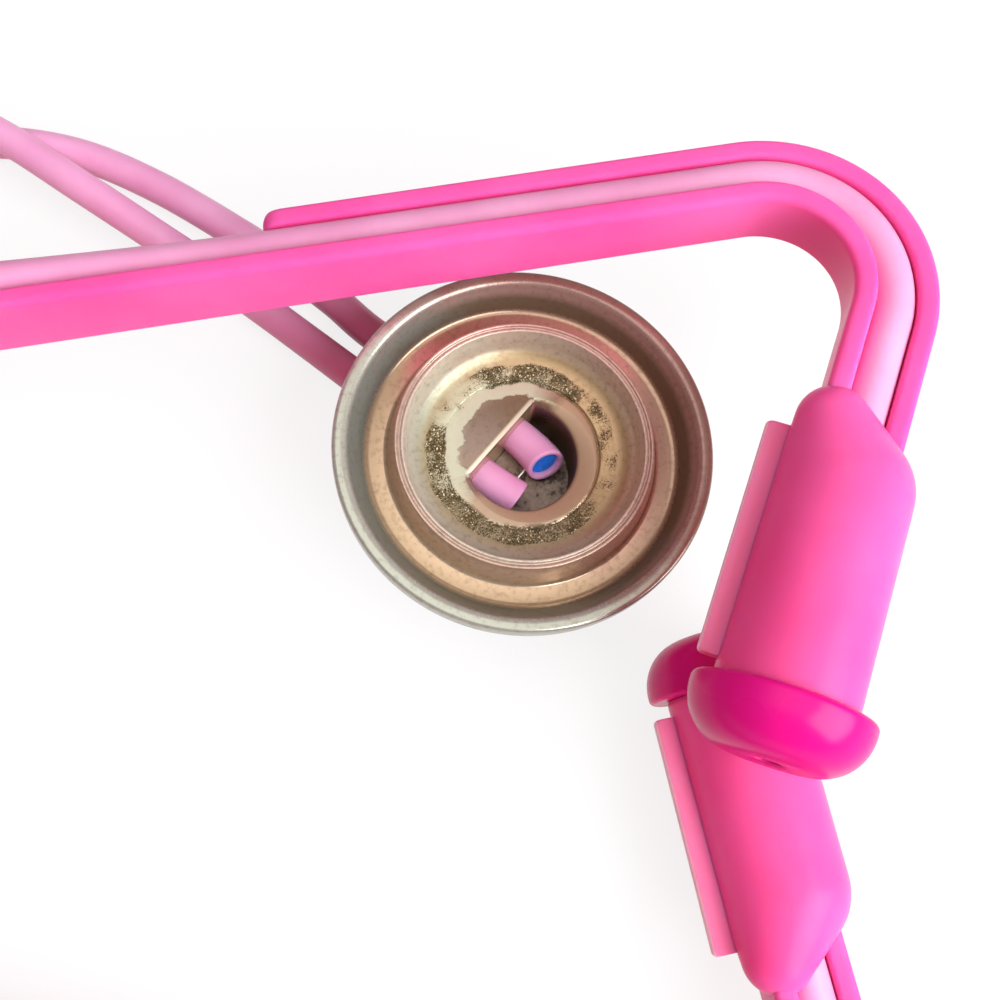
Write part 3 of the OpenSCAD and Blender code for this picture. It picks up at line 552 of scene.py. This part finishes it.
# Ear tips: deep magenta mushrooms of soft PVC with a sound hole, each moulded with a shank that is
# pushed into its sleeve.
def tip_shell():
    """Closed profile turned about the sleeve's axis: shank, back face, round rim, elliptical shoulder, flat
    end and bore."""
    bore, shank, rim_radius, rim_round, tall = 1.75, 4.5, 10.3, 0.7, 7.2
    a = np.radians(np.linspace(0, 90, 24))
    b = np.radians(np.linspace(-90, 0, 8))
    back = [[bore, -6], [shank, -6], [shank, 0], [7, 0]]
    rim = [rim_radius - rim_round, rim_round] + rim_round * np.stack([np.cos(b), np.sin(b)], axis=-1)
    shoulder = np.stack([shank + (rim_radius - shank) * np.cos(a), 1 + (tall - 1) * np.sin(a)], axis=-1)
    mouth = [[3.2, tall], [2.2, 7.15], [1.85, 7.0], [bore, 6.6]]
    g = turned_shell(np.concatenate([back, rim, shoulder, mouth]))
    return np.stack([barrel_end + g[..., 2], g[..., 0], hose_height + g[..., 1]], axis=-1)


# Magenta soft PVC, moulded: deep, glossy and a little see-through, so its lit side glows pink and its
# far side is dark crimson; tone drifts over 12 mm, the skin has a ripple of 3 mm.
magenta = bare_material("magenta_soft_pvc_moulded")
where = add(magenta, "ShaderNodeTexCoord", {}, "Object")
drift = add(magenta, "ShaderNodeTexNoise", {"Vector": where, "Scale": 1 / 0.012, "Detail": 2})
ripple = add(magenta, "ShaderNodeTexNoise", {"Vector": where, "Scale": 1 / 0.003, "Detail": 3})
tone = add(magenta, "ShaderNodeValToRGB", {0: drift}, stops=[(0.3, "D00874"), (0.7, "E01084")])
gloss = add(magenta, "ShaderNodeMath", {0: drift, 1: 0.12, 2: 0.2}, operation="MULTIPLY_ADD")
relief = add(magenta, "ShaderNodeBump", {"Height": ripple, "Distance": 0.00006, "Strength": 0.3})
look = add(magenta, "ShaderNodeBsdfPrincipled", {
    "Base Color": tone, "Normal": relief, "Roughness": gloss, "IOR": 1.25,
    "Subsurface Weight": 0.3, "Subsurface Radius": (0.004, 0.0003, 0.0009), "Subsurface Scale": 0.6})
add(magenta, "ShaderNodeOutputMaterial", {0: look})

for name, pose, sweep, body in (("lower_ear_tip", lower_pose, lower_sweep, "frame"),
                                ("upper_ear_tip", upper_pose, upper_sweep, "swing_arm")):
    tip = piece(name + "_moulding", [shell(pose(ear_pose(tip_shell(), sweep)), ring=True)], magenta)
    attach(tip, body)
    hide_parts(name)


# Pivot: the headed pink pin through both lugs and the button pressed on its lower end, which is
# also the foot under the pivot. Both keep their solids and take the arms' plastic.
for name in ("pivot_pin", "pivot_cap"):
    nodes[name].data.materials.clear()
    nodes[name].data.materials.append(pink)


# Bell front: a stepped bowl of metallised plastic, worn and tarnished, open upward. Lip, ledge, raised
# ring and dish are turned; the D-shaped pocket with the hose ends is cut into its middle.
def bell_shell():
    """Closed profile turned about the bell's axis, its inner rings drawn to the pocket's outline: a circle
    with a flat on the hoses' side, and a sloping edge, the gap to a larger circle set away from the flat."""
    sides, pocket_radius, pocket_flat, plate = 240, 7.7, 3.5, 11.8
    edge_radius, edge_shift, steepness = 8.9, 1.2, 1.3 / 2.4
    corners = np.array([                        # radius, height and rounding
        (13.5, 1.8, 0.2), (13.5, 8.5, 0.8), (16, 10.1, 0.8), (22, 10.1, 1.5), (25.2, 13.2, 0.8),
        (25.2, 16, 0.7), (23.4, 16, 0.7), (21.2, 11.7, 0.8), (18.2, 11.7, 0.5), (17.1, 16.3, 0.15),
        (16.75, 16.3, 0.12), (16.6, 16, 0.1), (16.4, 16, 0.1), (16.25, 16.3, 0.12), (15.9, 16.3, 0.15),
        (15.2, 13.2, 0.8), (13.5, 12.1, 1.0), (10.6, 11.85, 0.3)])
    a = all_round(sides)
    c, s = np.cos(a - math.radians(hub_turn)), np.sin(a - math.radians(hub_turn))
    hole = np.where(c > 0, np.minimum(pocket_radius, pocket_flat / np.maximum(c, 0.01)), pocket_radius)
    wide = np.sqrt(edge_radius ** 2 - edge_shift ** 2 * s ** 2) - edge_shift * c - pocket_radius
    wide = np.clip(np.where(hole < pocket_radius - 0.01, 0, wide), 0.05, None)
    low = plate - wide * steepness
    profile = fillet(corners[None, :, :2], corners[:, 2], 6)[0]
    profile = [(r + 0 * a, z + 0 * a) for r, z in profile]
    profile += [(hole + wide + 0.15, plate + 0 * a), (hole + wide - 0.05, plate - 0.02 + 0 * a)]
    profile += [(hole + 0.25 * np.minimum(1, wide), low), (hole + 0.05, low - 0.1), (hole, low - 0.3)]
    profile += [(hole, z + 0 * a) for z in (8.0, 5.0, 1.8)]
    return np.stack([np.stack([r * np.cos(a), r * np.sin(a), z], axis=-1) for r, z in profile])


# Vacuum-metallised plastic, tarnished: a thin mirror over lacquer that has gone tan, with turning lines,
# dried glue in golden specks of 0.2 mm and a pale water mark. Painted into it: brown to the right, partly
# tarnish and partly a painted reflection of the pink sleeves; grey-green tarnish to the left; a dark band of
# painted shade on the steep wall under the lip; painted light and shade on the pocket's walls and a painted
# highlight along the plate's edge.
# The pattern reads the bell's own frame in mm, and a ramp reads a distance as a share of the ramp's reach.
plating = bare_material("vacuum_metallised_plastic_tarnished")
bell_reach, dish_reach, pocket_reach = 26, 20, 10
local = add(plating, "ShaderNodeAttribute", {}, "Vector", attribute_name="bell_place")
level = add(plating, "ShaderNodeVectorMath", {0: local, 1: (1, 1, 0)}, operation="MULTIPLY")
radius = add(plating, "ShaderNodeVectorMath", {0: level}, "Value", operation="LENGTH")
facing = add(plating, "ShaderNodeVectorMath", {0: level}, operation="NORMALIZE")
to_right = add(plating, "ShaderNodeVectorMath", {0: facing, 1: (0.8, 0.6, 0)}, "Value",
               operation="DOT_PRODUCT")
to_mark = add(plating, "ShaderNodeVectorMath", {0: facing, 1: (-0.77, 0.64, 0)}, "Value",
              operation="DOT_PRODUCT")
to_hose = add(plating, "ShaderNodeVectorMath", {0: local, 1: (-0.777, 0.629, 0)}, "Value",
              operation="DOT_PRODUCT")
height = add(plating, "ShaderNodeVectorMath", {0: local, 1: (0, 0, 1)}, "Value", operation="DOT_PRODUCT")
cloud = add(plating, "ShaderNodeTexNoise", {"Vector": local, "Scale": 1 / 4, "Detail": 4})
grain = add(plating, "ShaderNodeTexNoise", {
    "Vector": local, "Scale": 1 / 0.8, "Detail": 5, "Roughness": 0.65})
crumb = add(plating, "ShaderNodeTexNoise", {
    "Vector": local, "Scale": 1 / 0.22, "Detail": 3, "Roughness": 0.85})
clump = add(plating, "ShaderNodeTexNoise", {"Vector": local, "Scale": 1 / 2.5, "Detail": 3})
spark = add(plating, "ShaderNodeTexVoronoi", {"Vector": local, "Scale": 1 / 0.16}, "Color")
wander = add(plating, "ShaderNodeMath", {0: cloud, 1: 1.6, 2: -0.8}, operation="MULTIPLY_ADD")
loose = add(plating, "ShaderNodeMath", {0: radius, 1: wander}, operation="ADD")
spoke = add(plating, "ShaderNodeCombineXYZ", {0: radius})
lathe = add(plating, "ShaderNodeTexNoise", {"Vector": spoke, "Scale": 1 / 0.5, "Detail": 3})
share = add(plating, "ShaderNodeMath", {0: radius, 1: bell_reach}, operation="DIVIDE")
# Ring by ring tones: tarnish, with painted shade as a dark band on the steep wall under the lip (share 0.825
# to 0.885).
cool_tone_and_painted_shade = add(plating, "ShaderNodeValToRGB", {0: share}, stops=[
    (0.30, "948070"), (1.0, "A0A292"), (0.37, "B2A48C"), (0.42, "BCB090"), (0.50, "AA9C78"), (0.55, "AEB298"),
    (0.60, "CFC8B6"), (0.655, "C8AA96"), (0.70, "BCA68E"), (0.72, "CCB08E"), (0.80, "B69C7A"),
    (0.825, "767A70"), (0.885, "80847A"), (0.91, "BABCAA"), (0.96, "B0B2A2")])
warm_tone_painted_reflection_and_shade = add(plating, "ShaderNodeValToRGB", {0: share}, stops=[
    (0.30, "8E745C"), (1.0, "7C5E52"), (0.37, "A4886A"), (0.42, "B4986F"), (0.50, "B89A72"), (0.55, "A28A62"),
    (0.60, "CDB8A6"), (0.655, "C4A090"), (0.70, "AC8C74"), (0.72, "D0AC94"), (0.805, "B4967C"),
    (0.825, "725E4A"), (0.855, "76624E"), (0.875, "AC8A7E"), (0.96, "987A6C")])
# Painted reflection: the right half turns brown, partly tarnish and partly a painted reflection of the pink
# sleeves.
warm_reflection_side = add(plating, "ShaderNodeMath", {0: to_right, 1: cloud}, operation="ADD")
warm_reflection_side = add(plating, "ShaderNodeValToRGB", {0: warm_reflection_side}, stops=[(0.1, 0.0), (0.95, 1.0)])
tone = add(plating, "ShaderNodeMix", {BY: warm_reflection_side, FROM: cool_tone_and_painted_shade, TO: warm_tone_painted_reflection_and_shade}, MIXED, data_type="RGBA")
stain = add(plating, "ShaderNodeValToRGB", {0: grain}, stops=[(0.5, 0.0), (0.8, 0.55)])
tone = add(plating, "ShaderNodeMix", {BY: stain, FROM: tone, TO: linear("5E4A38")}, MIXED, data_type="RGBA")

# Water mark: pale deposit left round the plate, on the side of the hoses, with a ragged inner edge.
ragged = add(plating, "ShaderNodeMath", {0: clump, 1: 3.6, 2: -1.8}, operation="MULTIPLY_ADD")
ragged = add(plating, "ShaderNodeMath", {0: ragged, 1: loose}, operation="ADD")
ragged = add(plating, "ShaderNodeMath", {0: ragged, 1: dish_reach}, operation="DIVIDE")
pale = add(plating, "ShaderNodeValToRGB", {0: ragged}, stops=[
    (0.415, 0.0), (0.66, 0.0), (0.43, 0.8), (0.54, 0.65)])
mark_side = add(plating, "ShaderNodeValToRGB", {0: to_mark}, stops=[(0.1, 0.0), (0.5, 0.85)])
pale = add(plating, "ShaderNodeMath", {0: pale, 1: mark_side}, operation="MULTIPLY")
tone = add(plating, "ShaderNodeMix", {BY: pale, FROM: tone, TO: linear("D2D8BA")}, MIXED, data_type="RGBA")

# Dried glue of the lost cover: crumbs in a band of the dish, thin to the right and bare at the water mark.
band = add(plating, "ShaderNodeMath", {0: loose, 1: dish_reach}, operation="DIVIDE")
band = add(plating, "ShaderNodeValToRGB", {0: band}, stops=[
    (0.47, 0.0), (0.69, 0.0), (0.52, 0.62), (0.64, 0.62)])
east = add(plating, "ShaderNodeVectorMath", {0: facing, 1: (1, 0, 0)}, "Value", operation="DOT_PRODUCT")
thick = add(plating, "ShaderNodeValToRGB", {0: east}, stops=[(0.45, 1.0), (0.9, 0.74)])
glue = add(plating, "ShaderNodeMath", {0: band, 1: thick}, operation="MULTIPLY")
bare = add(plating, "ShaderNodeValToRGB", {0: to_mark}, stops=[(0.88, 0.0), (0.98, 0.2)])
glue = add(plating, "ShaderNodeMath", {0: glue, 1: bare}, operation="SUBTRACT")
glue = add(plating, "ShaderNodeMath", {0: clump, 1: 0.7, 2: glue}, operation="MULTIPLY_ADD")
glue = add(plating, "ShaderNodeMath", {0: glue, 1: crumb}, operation="ADD")
glue = add(plating, "ShaderNodeMath", {0: glue, 1: 2}, operation="DIVIDE")
glue = add(plating, "ShaderNodeValToRGB", {0: glue}, stops=[(0.69, 0.0), (0.73, 1.0)])
gold = add(plating, "ShaderNodeValToRGB", {0: spark}, stops=[
    (0.25, "2E260C"), (0.92, "FBF0D0"), (0.55, "50421A"), (0.78, "7E6A32")])
tone = add(plating, "ShaderNodeMix", {BY: glue, FROM: tone, TO: gold}, MIXED, data_type="RGBA")

# Sloping edge of the pocket: the plating is rubbed through to dull tan plastic, as on the bowl's steep wall.
beside = add(plating, "ShaderNodeMath", {0: to_hose, 1: pocket_reach}, operation="DIVIDE")
sloped = add(plating, "ShaderNodeValToRGB", {0: beside}, stops=[(0.0, 1.0), (0.15, 0.0)])
inner = add(plating, "ShaderNodeValToRGB", {0: share}, stops=[(0.385, 0.8), (0.4, 0.0)])
sloped = add(plating, "ShaderNodeMath", {0: sloped, 1: inner}, operation="MULTIPLY")
tone = add(plating, "ShaderNodeMix", {BY: sloped, FROM: tone, TO: linear("B89C7C")}, MIXED, data_type="RGBA")
steep = add(plating, "ShaderNodeValToRGB", {0: share}, stops=[
    (0.805, 0.0), (0.93, 0.1), (0.83, 0.4), (0.88, 0.4)])
rubbed = add(plating, "ShaderNodeMath", {0: sloped, 1: steep}, operation="MAXIMUM")

# Pocket: painted shade, dark brown, on the round wall; painted light, tan, on the flat wall under the plate;
# and a painted highlight along the plate's edge.
deep = add(plating, "ShaderNodeMath", {0: height, 1: dish_reach}, operation="DIVIDE")
deep = add(plating, "ShaderNodeValToRGB", {0: deep}, stops=[(0.5, 1.0), (0.565, 0.0)])
close = add(plating, "ShaderNodeValToRGB", {0: share}, stops=[(0.3, 1.0), (0.315, 0.0)])
deep = add(plating, "ShaderNodeMath", {0: deep, 1: close}, operation="MULTIPLY")
# Painted light and shade: tan on the flat wall, dark brown on the round wall.
pocket_light_and_shade = add(plating, "ShaderNodeValToRGB", {0: beside}, stops=[(0.3, "4E3826"), (0.34, "C2A480")])
tone = add(plating, "ShaderNodeMix", {BY: deep, FROM: tone, TO: pocket_light_and_shade}, MIXED, data_type="RGBA")
# Painted highlight: a bright cream line along the top of the plate's flat edge.
edge = add(plating, "ShaderNodeValToRGB", {0: beside}, stops=[
    (0.34, 0.0), (0.42, 0.0), (0.35, 1.0), (0.385, 1.0)])
edge = add(plating, "ShaderNodeMath", {0: edge, 1: close}, operation="MULTIPLY")
high = add(plating, "ShaderNodeMath", {0: height, 1: 11.4}, operation="GREATER_THAN")
edge = add(plating, "ShaderNodeMath", {0: edge, 1: high}, operation="MULTIPLY")
tone = add(plating, "ShaderNodeMix", {BY: edge, FROM: tone, TO: linear("EFE2C6")}, MIXED, data_type="RGBA")

# Gloss: duller and less metallic where there is glue, deposit or wear, hazy in the dish, with turning lines.
dull = add(plating, "ShaderNodeMath", {0: glue, 1: pale}, operation="MAXIMUM")
dull = add(plating, "ShaderNodeMath", {0: dull, 1: rubbed}, operation="MAXIMUM")
metal = add(plating, "ShaderNodeMath", {0: dull, 1: -0.4, 2: 0.6}, operation="MULTIPLY_ADD")
worn = add(plating, "ShaderNodeMath", {0: grain, 1: 0.22, 2: 0.06}, operation="MULTIPLY_ADD")
worn = add(plating, "ShaderNodeMath", {0: dull, 1: 0.3, 2: worn}, operation="MULTIPLY_ADD")
haze = add(plating, "ShaderNodeValToRGB", {0: share}, stops=[
    (0.45, 0.04), (0.64, 0.04), (0.52, 0.2), (0.6, 0.2)])
worn = add(plating, "ShaderNodeMath", {0: worn, 1: haze}, operation="ADD")
metal = add(plating, "ShaderNodeMath", {0: haze, 1: -1.2, 2: metal}, operation="MULTIPLY_ADD")
relief = add(plating, "ShaderNodeMath", {0: lathe, 1: 0.12, 2: glue}, operation="MULTIPLY_ADD")
relief = add(plating, "ShaderNodeBump", {"Height": relief, "Distance": 0.00015, "Strength": 0.55})
look = add(plating, "ShaderNodeBsdfPrincipled", {
    "Base Color": tone, "Normal": relief, "Metallic": metal, "Roughness": worn})
add(plating, "ShaderNodeOutputMaterial", {0: look})

bowl = bell_shell()
bell = piece("bell_front_shell", [shell(bell_pose(bowl), ring=True)], plating, sharp=50)
mark(bell, "bell_place", bowl.reshape(-1, 3))
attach(bell, "frame")
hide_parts("bell_front")


# Hose ends: the last stretch of each hose, through the hub's wall into the pocket. The lower one was cut
# aslant and curls up and inward, so that the blue plug in its bore shows; the upper one lies straight.
def hose_tail(side, inward, lift, long, flare, lean, stopper=False):
    """Line straight through the hub, then curving evenly inward and up; round it rings of a tube that flares,
    sheared near its end by lean across and up, out along the outside and back along the bore; or of the
    stopper that fills the bore's last 4.5 mm, 0.5 mm short of the end."""
    hub_length, lean_length, bore, sides = 11.5, 3, 2.0, 48
    stopper_length, stopper_radius, stopper_depth = 4.5, 1.98, 0.5
    t = np.concatenate([np.linspace(-hub_length, 0, 8), np.linspace(0.3, long, 24)])
    curl = np.clip(t / long, 0, 1)
    yaw, pitch = np.radians(inward) * curl, np.radians(lift) * curl
    d = np.stack([-np.cos(yaw) * np.cos(pitch), -side * np.sin(yaw) * np.cos(pitch), np.sin(pitch)], axis=-1)
    steps = (d[1:] + d[:-1]) / 2 * np.diff(t)[:, None]
    p = np.concatenate([np.zeros((1, 3)), steps.cumsum(axis=0)]) + [hub_reach, side * hose_offset, hub_height]
    near = np.clip((t - long + lean_length) / lean_length, 0, 1) ** 2
    count = np.arange(len(t))
    if stopper:
        index = count[t > long - stopper_length]
        r, ahead = np.full(len(index), stopper_radius), np.full(len(index), -stopper_depth)
    else:  # along the outside, over the rounded end and back in the bore
        outside = hose_radius + flare * curl
        index = np.concatenate([count, np.full(5, len(t) - 1), count[::-1]])
        lip = np.concatenate([outside[-1] - np.array([0.06, 0.2]), [2.3, 2.12, 2.04]])
        r = np.concatenate([outside, lip, np.full(len(t), bore)])
        ahead = np.concatenate([0 * t, [0.2, 0.3, 0.3, 0.22, 0.08], 0 * t])
    across, up = square_to(d)
    a = all_round(sides)
    slant = near[index, None] * r[:, None] * (lean[0] * np.cos(a) + lean[1] * np.sin(a)) + ahead[:, None]
    circles = rings(across[index], up[index], sides)
    return hub_pose(p[index, None] + r[:, None, None] * circles + d[index, None] * slant[..., None])


# Blue polyethylene, cut from cord stock: matt and even, with a cut texture of 0.5 mm.
blue = bare_material("blue_polyethylene_cut")
where = add(blue, "ShaderNodeTexCoord", {}, "Object")
cuts = add(blue, "ShaderNodeTexNoise", {"Vector": where, "Scale": 1 / 0.0005, "Detail": 3})
tone = add(blue, "ShaderNodeValToRGB", {0: cuts}, stops=[(0.3, "0F6CE0"), (0.7, "2A86F6")])
relief = add(blue, "ShaderNodeBump", {"Height": cuts, "Distance": 0.00005, "Strength": 0.4})
look = add(blue, "ShaderNodeBsdfPrincipled", {"Base Color": tone, "Normal": relief, "Roughness": 0.5})
add(blue, "ShaderNodeOutputMaterial", {0: look})

for name, shape in (("lower", dict(side=-1, inward=19, lift=15, long=6.4, flare=0.25, lean=(0.12, -0.12))),
                    ("upper", dict(side=1, inward=6, lift=-3, long=6.0, flare=0.3, lean=(0, 0.1)))):
    tail = piece(name + "_hose_tail", [shell(hose_tail(**shape), ring=True)], vinyl)
    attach(tail, "frame")
    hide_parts(name + "_hose_end")
    plug = piece(name + "_hose_stopper", [shell(hose_tail(**shape, stopper=True))], blue)
    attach(plug, "frame")
    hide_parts(name + "_hose_plug")


# Bell back: the plate of the same plated plastic that closes the pocket and the hub from behind.
# It shows only as the pocket's floor, and keeps its solid.

# Metallised plastic, soiled: dull with dust, with dark stains of about 2 mm.
grime = bare_material("metallised_plastic_soiled")
where = add(grime, "ShaderNodeTexCoord", {}, "Object")
stains = add(grime, "ShaderNodeTexNoise", {
    "Vector": where, "Scale": 1 / 0.002, "Detail": 6, "Roughness": 0.65})
tone = add(grime, "ShaderNodeValToRGB", {0: stains}, stops=[
    (0.3, "2E251E"), (0.75, "C0AC98"), (0.42, "5E5044"), (0.48, "9A8878"), (0.6, "AE9A86")])
relief = add(grime, "ShaderNodeBump", {"Height": stains, "Distance": 0.0002, "Strength": 0.5})
look = add(grime, "ShaderNodeBsdfPrincipled", {
    "Base Color": tone, "Normal": relief, "Metallic": 0.3, "Roughness": 0.5})
add(grime, "ShaderNodeOutputMaterial", {0: look})
nodes["bell_back"].data.materials.clear()
nodes["bell_back"].data.materials.append(grime)


# Retaining wire: a thin steel wire pushed through both hose ends so that they can't be pulled out.
# Only the stretch between them shows, so it runs from inside one to inside the other.
wire_radius = 0.2
wire_points = np.array([[-0.9, -3.4, 5.5], [-0.9, 0, 5.2], [-0.9, 3.6, 5.2]])

# Steel wire, drawn: bright metal, with duller and darker spots of about 1 mm.
steel = bare_material("drawn_steel")
where = add(steel, "ShaderNodeTexCoord", {}, "Object")
spots = add(steel, "ShaderNodeTexNoise", {"Vector": where, "Scale": 1 / 0.001, "Detail": 3})
tone = add(steel, "ShaderNodeValToRGB", {0: spots}, stops=[(0.3, "A8A49E"), (0.7, "DAD6D0")])
gloss = add(steel, "ShaderNodeMath", {0: spots, 1: 0.2, 2: 0.2}, operation="MULTIPLY_ADD")
look = add(steel, "ShaderNodeBsdfPrincipled", {"Base Color": tone, "Metallic": 1.0, "Roughness": gloss})
add(steel, "ShaderNodeOutputMaterial", {0: look})

line = hub_pose(wire_points)
wire = piece("retaining_wire_drawn", [shell(tube(line, headings(line), wire_radius, sides=12))], steel)
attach(wire, "frame")
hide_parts("retaining_wire")


# Floor and light: a pale table top that the camera sees as plain white, soft even light from all round
# and one large window-like light from the right.
half_floor = 3
floor_corners = half_floor * np.array([(-1, -1, 0), (1, -1, 0), (1, 1, 0), (-1, 1, 0)])
floor_mesh = bpy.data.meshes.new("floor")
floor_mesh.from_pydata(floor_corners.tolist(), [], [(0, 1, 2, 3)])

# Pale laminate: warm and even where it lights the object; seen by the camera, or in metal, it is white paper
# that still takes the object's shadow.
table_top = bare_material("pale_laminate_table")
where = add(table_top, "ShaderNodeTexCoord", {}, "Object")
grain = add(table_top, "ShaderNodeTexNoise", {"Vector": where, "Scale": 1 / 0.004, "Detail": 3})
paint = add(table_top, "ShaderNodeValToRGB", {0: grain}, stops=[(0.3, "CCA49C"), (0.7, "D2AAA2")])
to_camera, to_gloss, to_glass = (
    add(table_top, "ShaderNodeLightPath", {}, "Is %s Ray" % kind)
    for kind in ("Camera", "Glossy", "Transmission"))
seen = add(table_top, "ShaderNodeMath", {0: to_camera, 1: to_gloss}, operation="MAXIMUM")
seen = add(table_top, "ShaderNodeMath", {0: seen, 1: to_glass}, operation="MAXIMUM")
matt = add(table_top, "ShaderNodeBsdfDiffuse", {0: paint})
paper = add(table_top, "ShaderNodeBsdfDiffuse", {0: linear("FAF8F8")})
bright = add(table_top, "ShaderNodeEmission", {0: (1, 1, 1, 1), 1: 1.0})
shown = add(table_top, "ShaderNodeMixShader", {0: 0.82, 1: paper, 2: bright})
both = add(table_top, "ShaderNodeMixShader", {0: seen, 1: matt, 2: shown})
add(table_top, "ShaderNodeOutputMaterial", {0: both})
floor_mesh.materials.append(table_top)
floor = bpy.data.objects.new("floor", floor_mesh)
scene.collection.objects.link(floor)

world = bpy.data.worlds.new("soft_room")
world.use_nodes = True
background = world.node_tree.nodes["Background"]
background.inputs["Color"].default_value = (1.0, 0.8, 0.82, 1.0)
background.inputs["Strength"].default_value = 0.3
scene.world = world
for name, place, target, size, power, colour in (
        ("window_right", (0.56, -0.26, 0.38), (0.15, 0.02, 0.01), 0.5, 7.6, (0.9, 0.95, 1.0)),
        ("ceiling", (0.12, 0.0, 0.9), (0.13, 0.02, 0.0), 0.8, 3.0, (1.0, 0.98, 0.97))):
    lamp = bpy.data.lights.new(name, "AREA")
    lamp.size = size
    lamp.energy = power
    lamp.color = colour
    o = bpy.data.objects.new(name, lamp)
    o.location = place
    x, y, z = unit(np.array(target) - np.array(place))
    o.rotation_euler = (math.acos(-z), 0, math.atan2(y, x) - math.pi / 2)
    scene.collection.objects.link(o)

scene.view_settings.view_transform = "Standard"
